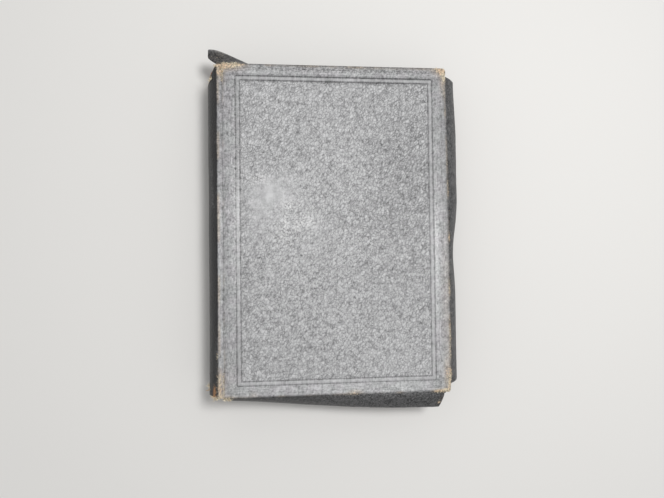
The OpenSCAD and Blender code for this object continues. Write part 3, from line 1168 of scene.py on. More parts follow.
@dataclass
class CoverHide:
    """The leather over one cover, from the joint round its three folds to the flaps' free edges."""

    plan: Plan
    finishes: Finishes
    cover: Cover
    flap_w: float = 13.5
    corner_gap: float = 4.5
    tail_extra: float = 1.6
    corner_reach: float = 3.7
    spacing: float = 0.66
    flap_spacing: float = 0.62
    line_spacing: float = 0.3
    flap_t: float = 1.35
    border_spine: float = 9.8
    border_fore: float = 7.4
    border_end: float = 6.4
    line_pitch: float = 2.3
    line_depth: float = 0.25
    line_half: float = 0.34
    line_corner: float = 0.9
    ridge_height: float = 0.07
    fore_flares: tuple[float, float] = (7.8, 9.2)
    fore_waist: float = 1.1
    fore_pinch: float = 0.8
    fore_bulge: float = 1.05
    fore_middle: float = 0.45
    tail_flares: tuple[float, float] = (3.0, 10.6)
    tail_slide: float = 1.2
    head_flares: tuple[float, float] = (10.4, 2.4)
    head_swells: tuple[float, float] = (-2.2, 0.5)
    torn_l: float = 22.0
    torn_crowd: float = 1.35
    torn_overhang: float = 7.8
    flap_swell: float = 0.7
    back_flare: float = 2.0
    back_drop: float = 12.0
    back_swell: float = 0.4
    ragged_coarse: float = 0.028
    ragged_fine: float = 0.012
    ripple: float = 0.25
    sag_broad: float = 0.1
    sag_small: float = 0.05
    margin_panel: float = 0.16
    band_panel: float = 0.05
    flap_panel: float = 0.62
    band_grain: float = 0.4
    flap_grain: float = 0.45
    band_tone: float = 0.04
    pressed_tone: float = 0.46
    section: FoldSection = FoldSection()
    # How much painted sheen the cover's face shows.
    painted_sheen: float = 0.76
    wear_spots: tuple[Spot, ...] = ()
    sheen_spots: tuple[Spot, ...] = ()
    smooth_spots: tuple[Spot, ...] = ()
    scuff_and_glint_spots: tuple[Spot, ...] = ()
    flap_spots: tuple[Spot, ...] = ()

    def flap(self, edge: Edge, along: Array) -> tuple[Array, Array, Array, Array]:
        """Returns how a flap leans at places along its root.

        Args:
            edge: Which flap.
            along: Places along the root, in the book's own frame.

        Returns:
            Lean, drop, slide of the free edge along the root, and swell.
        """
        zero = np.zeros_like(along)
        if not self.cover.front:
            return zero + self.back_flare, zero + self.back_drop, zero, zero + self.back_swell
        start, end = self.plan.hinge_x, self.plan.fold_x - self.corner_gap
        slide, swell = zero, zero + self.flap_swell
        if edge is Edge.FORE:
            flare = mix(*self.fore_flares, smooth((along + 20.0) / 40.0))
            flare = flare - self.fore_waist * bell(along + 12.0, 14.0)
            flare = flare - self.fore_pinch * smooth((along - 50.0) / 35.0)
        elif edge is Edge.TAIL:
            share = np.clip((along - start) / (end - start), 0.0, 1.0)
            flare = mix(*self.tail_flares, np.sin(math.pi / 2.0 * share))
            slide = -self.tail_slide * share
        else:
            share = smooth(np.clip((along - start) / self.torn_l, 0.0, 1.0) ** self.torn_crowd)
            flare = mix(*self.head_flares, share)
            slide = -self.torn_overhang * (1.0 - share)
            swell = mix(*self.head_swells, share)
        return flare, np.sqrt(self.flap_w**2 - flare**2), slide, swell

    def lines(self) -> tuple[Array, Array, Array, Array]:
        """Returns the grid's lines across and along the cover.

        Returns:
            Place and flap share of each column, and place and signed flap share of each row.
        """
        p = self.plan
        near = self.line_pitch + 1.0
        x0 = -p.fold_x + self.border_spine
        x1 = p.fold_x - self.border_fore
        y1 = p.fold_y - self.border_end
        coarse, fine = self.spacing, self.line_spacing if self.cover.front else self.spacing
        groove_end = p.hinge_x + 2.0
        x_stops = [p.hinge_x + p.joint_half, groove_end, x0 - 1.0, x0 + near, x1 - near, x1 + 1.0,
                   p.fold_x - self.corner_gap, p.root_x]
        xs = graded(x_stops, [fine, coarse, fine, coarse, fine, coarse, coarse])
        y_end = p.fold_y - self.corner_gap
        y_stops = [-p.root_y, -y_end, -y1 - 1.0, -y1 + near, y1 - near, y1 + 1.0, y_end, p.root_y]
        ys = graded(y_stops, [coarse, coarse, fine, coarse, fine, coarse, coarse])
        shares = np.linspace(0.0, 1.0, round(self.flap_w / self.flap_spacing) + 2)[1:]
        col_x = np.concatenate([xs, np.full(len(shares), p.root_x)])
        col_s = np.concatenate([np.zeros(len(xs)), shares])
        row_y = np.concatenate([np.full(len(shares), -p.root_y), ys, np.full(len(shares), p.root_y)])
        row_s = np.concatenate([-shares[::-1], np.zeros(len(ys)), shares])
        return col_x, col_s, row_y, row_s

    def build(self) -> bpy.types.Object:
        """Makes the hide.

        Returns:
            The finished piece, with its grain.
        """
        p = self.plan
        col_x, col_s, row_y, row_s = self.lines()
        x, y = np.meshgrid(col_x, row_y)
        sx, sy = np.meshgrid(col_s, row_s)
        side = np.sign(sy)
        fore = self.flap(Edge.FORE, y)
        head, tail = self.flap(Edge.HEAD, x), self.flap(Edge.TAIL, x)
        flare, drop, slide, swell = (np.where(side > 0, h, t) for h, t in zip(head, tail, strict=True))
        ragged = 1.0 + self.ragged_coarse * noise(x, y, 9.0, 5) * (1.0 - 0.5 * (sx == 0))
        ragged += self.ragged_fine * noise(x, y, 2.1, 6)
        out_x, down_x, run_x = self.section.run(
            fore[0], fore[1], sx * ragged, p.fold_in, fore[3], self.bulge(y)
        )
        out_y, down_y, run_y = self.section.run(flare, drop, np.abs(sy) * ragged, p.fold_in, swell)
        head_lean = np.clip((sy - 0.25) / 0.5, 0.0, 1.0)
        tail_lean = np.maximum(0.0, (-sy - 0.35) / 0.65)
        lean = np.where(side > 0, head_lean, tail_lean)
        ripple = self.ripple * noise(x, y, 16.0, 7) * np.maximum(sx, np.abs(sy)) ** 2
        px = x + out_x + slide * lean
        py = y + side * out_y
        depth = down_x + down_y + ripple

        flat_x, flat_y = x + run_x, y + side * run_y
        plate = (sx == 0) & (sy == 0)
        depth = depth + np.where(plate, self.press(x, y), 0.0)
        points = np.stack([px, py, p.height(self.cover, depth)], axis=-1)

        y_end, x_end = p.fold_y - self.corner_gap, p.fold_x - self.corner_gap
        past_y = (np.abs(y) > y_end + 0.01) | (sy != 0)
        past_x = (x > x_end + 0.01) | (sx != 0)
        reach = self.corner_reach + 0.5 * noise(flat_x, flat_y, 1.1, 9)
        dead = (sx > 0) & past_y & (run_x > reach)
        late_x = np.where(side < 0, x > x_end + self.tail_extra, past_x)
        dead |= (sy != 0) & late_x & (run_y > reach)
        dead |= (sx > 0) & (sy != 0) & (np.hypot(run_x, run_y) > reach)
        return self.shell(points, ~dead, sx, sy, flat_x, flat_y, past_x & past_y)

    def bulge(self, y: Array) -> Array:
        """Returns how far the fore-edge fold stands out past its straight line."""
        middle = self.fore_bulge + self.fore_middle * bell(y + 5.0, 25.0)
        return middle * smooth((95.0 - y) / 75.0) * smooth((y + 92.0) / 12.0) * self.cover.front

    def press(self, x: Array, y: Array) -> Array:
        """Returns how deep the cover's face is pressed in at each point of the plate.

        Args:
            x: Places across the cover.
            y: Places along the cover.

        Returns:
            Depths, most where a line or the joint's groove is pressed.
        """
        p = self.plan
        sag = self.sag_broad * (noise(x, y, 38.0, 3) + 1.0) + self.sag_small * (noise(x, y, 11.0, 4) + 1.0)
        edge = np.minimum(np.minimum(p.root_x - x, p.root_y - np.abs(y)), 6.0) / 6.0
        total = p.groove(x) + sag * smooth(edge)
        if self.cover.front:
            d = self.border_distance(x, y)
            total += self.line_depth * self.two_lines(d)
            total -= self.ridge_height * bell(d + self.line_pitch / 2.0, 0.55)
        return total

    def two_lines(self, distance: Array) -> Array:
        """Returns 1 on the border's two lines, fading to 0 beside them."""
        return bell(distance, self.line_half) + bell(distance + self.line_pitch, self.line_half)

    def border_distance(self, x: Array, y: Array) -> Array:
        """Returns the distance to the border's outer line, below 0 inside it."""
        p = self.plan
        x0, x1 = -p.fold_x + self.border_spine, p.fold_x - self.border_fore
        y1 = p.fold_y - self.border_end
        r = self.line_corner
        qx = np.abs(x - (x0 + x1) / 2.0) - (x1 - x0) / 2.0 + r
        qy = np.abs(y) - y1 + r
        outside = np.hypot(np.maximum(qx, 0.0), np.maximum(qy, 0.0))
        return outside + np.minimum(np.maximum(qx, qy), 0.0) - r

    def shell(
        self, points: Array, alive: Array, sx: Array, sy: Array, flat_x: Array, flat_y: Array, corner: Array
    ) -> bpy.types.Object:
        """Gives the outer sheet its thickness and makes the piece.

        Args:
            points: Points of the outer sheet, row by row.
            alive: Which points are there.
            sx: Share of the way along the fore-edge flap.
            sy: Signed share of the way along the head and tail flaps.
            flat_x: First coordinate of each point on the flat hide.
            flat_y: Second coordinate of each point on the flat hide.
            corner: Which points lie in a corner of the cover.

        Returns:
            The piece.
        """
        p = self.plan
        rows, columns = alive.shape
        normal = sheet_normals(points) * (1.0 if self.cover.front else -1.0)
        share = np.maximum(sx, np.abs(sy))
        thick = mix(p.leather, self.flap_t, smooth(2.0 * share)) * np.where(corner, 0.9, 1.0)
        inner = points - normal * thick[..., None]
        plate = (sx == 0) & (sy == 0)
        inner[..., 2] = np.where(plate, p.height(self.cover, p.leather), inner[..., 2])
        inner[..., :2] = np.where(plate[..., None], points[..., :2], inner[..., :2])

        outer_faces = grid_faces(rows, columns, alive)
        rim = rim_of(outer_faces)
        cell_plate = plate.ravel()[outer_faces].all(axis=1)
        count = rows * columns
        inner_faces = outer_faces[~cell_plate][:, ::-1] + count
        floor_rows = np.flatnonzero(plate.any(axis=1))
        floor_cols = np.flatnonzero(plate.any(axis=0))
        under = self.under_loop(floor_rows, floor_cols, columns) + count

        flat_points, flat_inner = points.reshape(-1, 3), inner.reshape(-1, 3)
        wall, lip = lip_walls(rim, flat_points, flat_inner, normal.reshape(-1, 3), count, plate.ravel())
        every = np.concatenate([flat_points, flat_inner, lip])
        faces = [*outer_faces.tolist(), *inner_faces.tolist(), *wall, under.tolist()]

        layers = self.layers(flat_x.ravel(), flat_y.ravel(), flat_points, sx.ravel(), sy.ravel())
        full = with_inside(layers, rim)
        full["flat"][count : 2 * count, 1] += INSIDE_SHIFT
        used = np.unique(np.concatenate([np.asarray(f) for f in faces]))
        number = np.full(len(every), -1)
        number[used] = np.arange(len(used))
        faces = [number[np.asarray(f)].tolist() for f in faces]
        kept = {k: v[used] for k, v in full.items()}
        piece = make_mesh(f"{self.cover.side}_hide", every[used], faces, kept)
        return self.finishes.grained(piece)

    @staticmethod
    def under_loop(rows: Array, columns: Array, width: int) -> Array:
        """Returns the points round the underside of the plate, turning right when seen from above."""
        low, high, left, right = rows[0], rows[-1], columns[0], columns[-1]
        loop = [(r, left) for r in rows]
        loop += [(high, c) for c in columns[1:]]
        loop += [(r, right) for r in rows[-2::-1]]
        loop += [(low, c) for c in columns[-2:0:-1]]
        return np.array([r * width + c for r, c in loop])

    def layers(self, flat_x: Array, flat_y: Array, points: Array, sx: Array, sy: Array) -> dict[str, Array]:
        """Returns the point attributes that the leather's finish reads.

        Args:
            flat_x: First coordinate on the flat hide.
            flat_y: Second coordinate on the flat hide.
            points: The points' own places.
            sx: Share along the fore-edge flap.
            sy: Signed share along the head and tail flaps.

        Returns:
            Each attribute, by name.
        """
        p = self.plan
        x, y = points[:, 0], points[:, 1]
        share = np.maximum(sx, np.abs(sy))
        inside = self.border_distance(x, y) if self.cover.front else np.full_like(x, -20.0)
        panel, grain = self.grain_layers(x, y, share, inside)
        past_y = np.abs(flat_y) - p.fold_y + 7.0
        past_x = np.maximum(np.abs(flat_x) - p.fold_x + 7.0, 0.0)
        return {
            "flat": np.stack([flat_x + self.cover.shift, flat_y, np.zeros_like(flat_x)], axis=1),
            "panel": panel,
            "grain": grain,
            "painted_sheen": self.sheen_layer(x, y, sx, sy, inside),
            "wear": self.wear_layer(x, y, share),
            "raw": np.zeros_like(x),
            "ends": smooth((past_y - past_x) / 2.0),
            "scuff_and_glint": spotted(self.scuff_and_glint_spots, x, y),
            "skin": np.ones_like(x),
        }

    def grain_layers(self, x: Array, y: Array, share: Array, inside: Array) -> tuple[Array, Array]:
        """Returns how strongly the pebbles and the fine grain show.

        Args:
            x: Places across the cover.
            y: Places along the cover.
            share: Share of the way along a flap.
            inside: Distance to the border's outer line, below 0 inside it.

        Returns:
            The strength of the pebbles, and that of the fine grain.
        """
        band = inside + self.line_pitch / 2.0
        turned = smooth(share / 0.2)
        panel = mix(self.margin_panel, 1.0, smooth((-inside - self.line_pitch) / 0.5))
        panel = np.where(np.abs(band) < self.line_pitch / 2.0 + 0.35, self.band_panel, panel)
        panel = np.where(share > 0, mix(self.margin_panel, self.flap_panel, turned), panel)
        calm = spotted(self.smooth_spots, x, y)
        grain = mix(1.0, self.band_grain, bell(band, 0.9)) * (1.0 - 0.85 * calm)
        return panel * (1.0 - calm), grain * mix(1.0, self.flap_grain, turned)

    def sheen_layer(self, x: Array, y: Array, sx: Array, sy: Array, inside: Array) -> Array:
        """Returns how much painted sheen the leather shows; lower values are painted shade.

        Args:
            x: Places across the cover.
            y: Places along the cover.
            sx: Share along the fore-edge flap.
            sy: Signed share along the head and tail flaps.
            inside: Distance to the border's outer line, below 0 inside it.

        Returns:
            0 for dark leather and 1 for the palest painted sheen.
        """
        share = np.maximum(sx, np.abs(sy))
        margin = smooth((inside + 0.4) / 1.5)
        painted_sheen = self.painted_sheen - 0.1 * margin * (share == 0)
        painted_sheen = painted_sheen - 0.05 * margin * smooth((x + y - 40.0) / 40.0)
        # The spots add painted highlights and painted shade.
        painted_sheen = painted_sheen + spotted(self.sheen_spots, x, y)
        # Painted shade in the joint's groove.
        painted_sheen = painted_sheen - 0.12 * bell(x - self.plan.hinge_x, 0.7)
        # A painted highlight on the worn free edges of the flaps.
        tip = 0.24 * smooth((share - 0.94) / 0.06) * (0.8 + 0.9 * noise(x, y, 12.0, 41))
        # The flaps show painted shade instead of the face's sheen.
        fold_at, shade = 0.06, 0.05
        if self.cover.front:
            painted_sheen = painted_sheen - self.band_tone * bell(inside + self.line_pitch / 2.0, 0.5)
            painted_sheen = painted_sheen - self.pressed_tone * self.two_lines(inside)
            # A stronger painted highlight on the tail flap's lower edge, towards the fore edge.
            tip = tip + 0.4 * smooth((-sy - 0.955) / 0.03) * smooth((x - 25.0) / 15.0)
            fold_at = np.where(sx > 0, 0.1, np.where(sy < 0, 0.03, 0.06))
            # On the front, the flaps' painted shade is darkest towards the spine.
            shade = mix(0.02, 0.09, smooth((x + 40.0) / 70.0))
        shade = np.where(sy > 0, 0.06, shade)
        return mix(painted_sheen, shade + tip, smooth((share - fold_at) / 0.15))

    def wear_layer(self, x: Array, y: Array, share: Array) -> Array:
        """Returns how far the leather is worn through to its fibres.

        Args:
            x: Places across the cover.
            y: Places along the cover.
            share: Share of the way along a flap.

        Returns:
            0 for whole leather and 1 for bare fibres.
        """
        p = self.plan
        fold_x = p.fold_x - 0.2 + self.bulge(y)
        edge = np.minimum(np.abs(fold_x - x), np.abs(p.fold_y - 0.2 - np.abs(y)))
        scuffed = mix(0.3, 0.42, x > 0.9 * p.root_x) * bell(edge, 0.9) * (0.8 + 1.2 * noise(x, y, 5.0, 12))
        wear = scuffed + spotted(self.wear_spots, x, y)
        wear = wear * (1.0 - 0.75 * smooth((share - 0.3) / 0.3))
        return wear + spotted(self.flap_spots, x, y) * (share > 0.2)


FRONT_WEAR = (
    Spot(-57.0, 88.8, 9.0, 2.6, 1.0),
    Spot(-62.0, 84.0, 3.2, 7.0, 0.9),
    Spot(61.0, 88.5, 5.0, 3.2, 0.85),
    Spot(62.0, 82.0, 2.2, 8.0, 0.6),
    Spot(60.5, -89.4, 6.0, 1.3, 0.8),
    Spot(61.8, -81.0, 1.7, 8.0, 0.6),
    Spot(62.5, -42.0, 4.0, 52.0, 0.3),
    Spot(-61.6, -82.0, 2.0, 11.0, 0.7),
    Spot(-58.0, -89.8, 4.0, 1.4, 0.6),
    Spot(-56.0, -80.0, 6.0, 14.0, 0.15),
    Spot(10.4, -88.6, 4.0, 1.5, 0.55),
    Spot(-44.5, -88.4, 3.0, 2.4, 0.3),
    Spot(20.0, 89.4, 46.0, 1.2, 0.3),
    Spot(-61.8, 71.0, 2.2, 3.5, 0.6),
    Spot(-61.8, 46.6, 2.2, 3.5, 0.6),
    Spot(-61.8, 13.9, 2.2, 4.0, 0.55),
    Spot(-61.8, -26.9, 2.2, 6.0, 0.6),
    Spot(-61.8, -49.0, 2.2, 6.0, 0.6),
    Spot(-61.8, -66.7, 2.2, 5.0, 0.6),
)
BACK_WEAR = (
    Spot(61.5, 88.5, 4.0, 3.0, 0.7),
    Spot(61.5, -88.5, 4.0, 3.0, 0.7),
    Spot(-58.0, 89.0, 4.0, 2.0, 0.5),
    Spot(-58.0, -89.0, 4.0, 2.0, 0.5),
)
# Spots of the front's painted sheen: painted highlights on the ridges beside the border, a painted pool of
# light left of the middle, and painted shade, where negative, along the folds.
FRONT_SHEEN = (
    Spot(-25.0, 8.0, 26.0, 34.0, 0.08),
    Spot(-24.0, 10.0, 6.0, 8.0, 0.02),
    Spot(-26.2, -1.0, 0.5, 9.0, 0.12),
    Spot(56.9, -12.0, 0.9, 34.0, 0.2),
    Spot(59.3, -4.0, 3.0, 30.0, 0.16),
    Spot(61.8, 0.0, 2.0, 200.0, -0.15),
    Spot(61.5, 62.0, 2.5, 26.0, -0.08),
    Spot(54.5, -10.0, 2.4, 26.0, 0.13),
    Spot(-52.1, 60.0, 0.9, 34.0, -0.16),
    Spot(0.0, 83.9, 90.0, 0.9, -0.26),
    Spot(0.0, 81.0, 90.0, 1.1, -0.22),
    Spot(-52.6, 1.0, 1.2, 26.0, 0.16),
    Spot(-58.6, 0.0, 2.2, 100.0, -0.1),
    Spot(-55.0, 62.0, 4.0, 42.0, -0.12),
    Spot(-55.0, -64.0, 4.0, 42.0, -0.07),
    Spot(0.0, 88.2, 90.0, 1.9, -0.34),
    Spot(0.0, 85.5, 80.0, 0.8, 0.06),
    Spot(0.0, -85.3, 36.0, 1.1, 0.1),
    Spot(0.0, -90.0, 80.0, 1.2, -0.14),
    Spot(44.0, 30.0, 24.0, 70.0, -0.15),
    Spot(20.0, -60.0, 40.0, 30.0, 0.05),
    Spot(59.0, -86.0, 6.0, 6.0, -0.12),
)
FRONT_FLAP_WEAR = (
    Spot(59.5, -95.5, 3.0, 3.0, 0.45),
    Spot(58.2, -97.2, 0.8, 0.8, 0.9),
    Spot(-63.0, 96.5, 9.0, 5.0, 0.42),
)
FRONT_SMOOTH = (
    Spot(-33.0, 20.0, 9.5, 8.0, 0.9),
    Spot(-40.0, 8.0, 7.0, 12.0, 0.45),
    Spot(-10.0, -2.0, 7.0, 6.0, 0.3),
)
# Pale scuffs on the front, with painted glints on the ridges beside the border.
FRONT_SCUFFS_AND_GLINTS = (
    Spot(-25.0, 13.5, 5.0, 2.4, 0.55),
    Spot(-27.0, 3.0, 1.6, 5.5, 0.65),
    Spot(-21.0, 1.5, 2.0, 4.0, 0.5),
    Spot(-14.5, 5.0, 4.0, 4.5, 0.6),
    Spot(56.9, -8.0, 0.7, 26.0, 0.5),
    Spot(-28.0, -5.0, 6.0, 5.0, 0.25),
    Spot(-41.0, 28.0, 4.0, 2.4, 0.5),
    Spot(-53.0, 20.0, 3.0, 60.0, 0.22),
    Spot(0.0, 87.5, 60.0, 2.0, 0.25),
    Spot(26.0, -89.0, 30.0, 4.0, 0.16),
)


@dataclass
class SpineHide:
    """Half of the leather over the spine, from its middle line to a joint."""

    plan: Plan
    finishes: Finishes
    cover: Cover
    fold_r: float = 1.7
    end: float = 0.5
    torn: float = 8.5
    nick: float = 0.4
    spacing: float = 0.6
    flat_n: int = 12
    arc_n: int = 60
    near_l: float = 2.4
    near_n: int = 11
    fold_run: float = 2.3
    wave: float = 0.12
    end_pinch: float = 0.14
    # Painted sheen beside the joint, on the front and on the back.
    painted_sheen: float = 0.66
    back_painted_sheen: float = 0.2
    ragged: tuple[tuple[float, float], ...] = (
        (0.0, 0.12), (0.07, 0.19), (0.12, 0.72), (0.26, 0.9), (0.43, 0.78),
        (0.6, 1.0), (0.78, 0.86), (0.91, 0.26), (0.97, 0.07), (1.0, 0.0),
    )

    def section(self) -> tuple[Array, Array, Array]:
        """Returns the half's outer line, from the joint to the middle of the spine.

        Returns:
            Place across the book, depth inside the cover's face, and length so far.
        """
        p = self.plan
        half, radius = p.middle, p.spine_r
        fold_x = p.spine_x - math.sqrt((radius - self.fold_r) ** 2 - (half - self.fold_r) ** 2)
        lean = math.atan2(half - self.fold_r, p.spine_x - fold_x)
        turn = np.linspace(0.0, math.pi / 2.0 - lean, self.flat_n)
        sweep = np.linspace(lean, 0.0, self.arc_n)[1:]
        start = p.hinge_x + p.joint_half - p.seam
        x = [np.linspace(start, fold_x, self.flat_n)[:-1], fold_x - self.fold_r * np.sin(turn)]
        x.append(p.spine_x - radius * np.cos(sweep))
        depth = [np.zeros(self.flat_n - 1), self.fold_r * (1.0 - np.cos(turn))]
        depth.append(half - radius * np.sin(sweep))
        xs, ds = np.concatenate(x), np.concatenate(depth)
        run = np.concatenate([[0.0], np.cumsum(np.hypot(np.diff(xs), np.diff(ds)))])
        return xs, ds, run

    def build(self) -> bpy.types.Object:
        """Makes the half.

        Returns:
            The finished piece.
        """
        p = self.plan
        line_x, line_d, run = self.section()
        s = np.concatenate([np.linspace(0.0, self.near_l, self.near_n)[:-1],
                            np.linspace(self.near_l, run[-1], round(run[-1] / self.spacing))])
        x, d = np.interp(s, run, line_x), np.interp(s, run, line_d)
        height = p.height(self.cover, d)
        shares = np.array(self.ragged)
        lost = np.interp(height / p.thickness, shares[:, 0], shares[:, 1]) * self.torn
        nicks = np.abs(noise(s * (1 if self.cover.front else -1), s, 0.9, 21))
        top = p.fold_y - self.end - lost - self.nick * nicks
        rows = round(2.0 * p.fold_y / self.spacing)
        v = np.linspace(0.0, 1.0, rows)[:, None]
        y = mix(-p.fold_y + self.end, top[None, :], v)
        wave = self.wave * noise(y, s[None, :], 14.0, 23) * smooth((s[None, :] - 3.0) / 4.0)

        tangent = np.stack([np.gradient(x), np.gradient(d)], axis=1)
        tangent /= np.linalg.norm(tangent, axis=1, keepdims=True)
        inward = np.stack([tangent[:, 1], -tangent[:, 0]], axis=1)
        pressed = p.groove(x)
        sink = pressed[None, :] + wave
        thick = p.leather - pressed
        ends = self.end_pinch * bell(y + p.fold_y - self.end, 2.0) * smooth(s[None, :] - 3.0)
        outer = self.place(x, d, inward, sink - ends, y)
        inner = self.place(x, d, inward, sink + thick[None, :] - wave, y)
        return self.close(outer, inner, s, y)

    def place(self, x: Array, d: Array, inward: Array, sink: Array, y: Array) -> Array:
        """Returns the grid's points, sunk below the outer line by a depth of their own."""
        px = x[None, :] + inward[None, :, 0] * sink
        pd = d[None, :] + inward[None, :, 1] * sink
        pz = self.plan.height(self.cover, pd)
        return np.stack([px, np.broadcast_to(y, px.shape), pz], axis=-1)

    def close(self, outer: Array, inner: Array, s: Array, y: Array) -> bpy.types.Object:
        """Joins the two sheets round their edge and adds the attributes.

        Args:
            outer: Points of the outer sheet.
            inner: Points of the inner sheet.
            s: Length along the section from the joint.
            y: Place along the book of each point.

        Returns:
            The piece.
        """
        p = self.plan
        rows, columns = outer.shape[:2]
        count = rows * columns
        faces = grid_faces(rows, columns)
        rim = rim_of(faces)
        normal = sheet_normals(outer).reshape(-1, 3)
        square = np.zeros(count, bool)
        column = np.tile(np.arange(columns), rows)
        square[(column == 0) | (column == columns - 1)] = True
        wall, lip = lip_walls(rim, outer.reshape(-1, 3), inner.reshape(-1, 3), normal, count, square)
        points = np.concatenate([outer.reshape(-1, 3), inner.reshape(-1, 3), lip])
        every = [*faces.tolist(), *(faces[:, ::-1] + count).tolist(), *wall]

        full = with_inside(self.layers(np.broadcast_to(s[None, :], y.shape).ravel(), y), rim)
        piece = make_mesh(f"spine_hide_{self.cover.side}", points, every, full)
        piece = self.finishes.grained(piece)
        level = p.height(self.cover, 0.0) * MM
        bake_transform(piece)
        return piece

    def layers(self, run: Array, y: Array) -> dict[str, Array]:
        """Returns the point attributes that the leather's finish reads.

        Args:
            run: Length along the section from the joint, point by point.
            y: Place along the book of each point, row by row.

        Returns:
            Each attribute, by name.
        """
        p, front = self.plan, self.cover.front
        flat_x = p.hinge_x + p.joint_half - run + self.cover.shift
        flat_y = y.ravel()
        over = smooth(run - self.fold_run)
        spine_tone = 0.13 * noise(flat_y, run * 4.0, 16.0, 37) - 0.05
        # Beside the joint the hide takes the cover's painted sheen, less towards the head.
        joint_sheen = self.painted_sheen - 0.18 * smooth((flat_y - 15.0) / 35.0) if front else self.back_painted_sheen
        # The dip at the joint is painted shade in its groove.
        painted_sheen = mix(joint_sheen, spine_tone, over) - 0.1 * bell(run - p.joint_half, 0.7)
        fold = bell(run - self.fold_run, 1.0)
        patches = smooth((noise(flat_y, run, 15.0, 31) + 0.05) / 0.5)
        wear = 0.6 * fold * patches
        wear += 0.9 * bell(run - 1.9, 1.4) * smooth((-flat_y - 70.0) / 9.0)
        wear += 0.95 * bell(run - 1.4, 2.4) * smooth((flat_y - 79.0) / 6.0)
        top = y[-1, :][None, :] - y
        wear += 0.8 * bell(top.ravel(), 0.8) + 0.5 * bell(flat_y + p.fold_y, 1.4)
        raw = bell(run - 6.4, 2.6) * bell(flat_y + p.fold_y - 3.5, 5.0) * (1.0 if front else 0.4)
        return {
            "flat": np.stack([flat_x, flat_y, np.zeros_like(run)], axis=1),
            "panel": mix(0.2, 0.55, over),
            "grain": mix(1.0, 0.6, over),
            "painted_sheen": painted_sheen,
            "wear": wear + raw,
            "raw": raw,
            "skin": np.ones_like(run),
        }


@dataclass
class TurnIn:
    """The hide's edge inside a cover, turned in over the board and round behind the folds."""

    plan: Plan
    finishes: Finishes
    cover: Cover
    corner_r: float = 0.8
    step: float = 2.0
    shift: float = 300.0
    profile: tuple[tuple[float, float], ...] = (
        (-9.6, 2.5), (-9.6, 2.12), (-0.6, 2.1), (-0.6, 0.82), (1.0, 0.82),
        (1.55, 1.3), (1.75, 2.2), (1.9, 3.2), (1.2, 2.65), (0.2, 2.5),
    )

    def build(self) -> bpy.types.Object:
        """Makes the turned-in edge.

        Returns:
            The finished piece.
        """
        p = self.plan
        past = np.array([a for a, _ in self.profile])
        depth = np.array([b for _, b in self.profile])
        r = self.corner_r
        at_x, at_y = p.root_x - r, p.root_y - r
        mitre, bow = np.minimum(r + past, 0.0), np.maximum(r + past, 0.0)
        places: list[tuple[Array, Array]] = []
        run_x = np.linspace(0.0, 1.0, round((at_x - p.board_x) / self.step))
        run_y = np.linspace(-1.0, 1.0, round(2.0 * at_y / self.step))
        turn = np.linspace(0.0, math.pi / 2.0, 7)[1:-1]
        places += [(mix(p.board_x, at_x + mitre, t), -(p.root_y + past)) for t in run_x]
        places += [(at_x + mitre + bow * math.sin(a), -(at_y + mitre + bow * math.cos(a))) for a in turn]
        places += [(p.root_x + past, t * (at_y + mitre)) for t in run_y]
        places += [(at_x + mitre + bow * math.cos(a), at_y + mitre + bow * math.sin(a)) for a in turn]
        places += [(mix(at_x + mitre, p.board_x, t), p.root_y + past) for t in run_x]
        height = p.height(self.cover, depth)
        rings = np.stack([np.stack([x, y, height], axis=1) for x, y in places])
        points = rings.reshape(-1, 3)
        count = len(points)
        layers = {
            "flat": np.stack([points[:, 0] + self.shift, points[:, 1], np.zeros(count)], axis=1),
            "panel": np.full(count, 0.55),
            "grain": np.full(count, 0.4),
            "painted_sheen": np.full(count, 0.06),
            "wear": 0.18 * bell(points[:, 0] - p.root_x, 2.0),
            "raw": np.zeros(count),
            "skin": np.zeros(count),
        }
        faces = sweep_faces(len(rings), len(past))
        piece = make_mesh(f"{self.cover.side}_turn_in", points, faces, layers)
        piece.data.materials.append(self.finishes["cover_leather"])
        return piece


@dataclass
class JointStrip:
    """The endpaper's fold inside a joint, from the first leaf to the paper on the cover."""

    plan: Plan
    finishes: Finishes
    cover: Cover
    half_y: float = 78.0
    half_t: float = 0.05
    path: tuple[tuple[float, float], ...] = (
        (-0.2, 2.62), (-0.17, 1.15), (0.5, 0.9), (1.28, 1.1), (1.34, 2.4), (2.0, 2.47),
    )

    def build(self) -> bpy.types.Object:
        """Makes the strip.

        Returns:
            The finished piece.
        """
        p = self.plan
        line = softened(np.array(self.path), 3)
        along = np.gradient(line, axis=0)
        across = np.stack([-along[:, 1], along[:, 0]], axis=1)
        across *= self.half_t / np.linalg.norm(across, axis=1, keepdims=True)
        profile = np.concatenate([line + across, (line - across)[::-1]])
        x = p.hinge_x + profile[:, 0]
        z = p.height(self.cover, profile[:, 1])
        rows = np.linspace(-self.half_y, self.half_y, 60)
        rings = np.stack([np.stack([x, np.full_like(x, y), z], axis=1) for y in rows])
        faces = sweep_faces(len(rows), len(x))
        piece = make_mesh(f"{self.cover.side}_joint_paper", rings.reshape(-1, 3), faces)
        piece.data.materials.append(self.finishes["endpaper"])
        level = z.mean() * MM
        ends = [((p.hinge_x + step) * MM, 0.0, level) for step in (-0.12, 1.25)]
        ends[0]
        ends[1]
        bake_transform(piece)
        return piece


@dataclass(frozen=True)
class FraySite:
    """A worn edge with loose fibres: where it runs, how they stand, how many and how long."""

    start: tuple[float, float, float]
    end: tuple[float, float, float]
    lean: tuple[float, float, float]
    count: int
    length: float


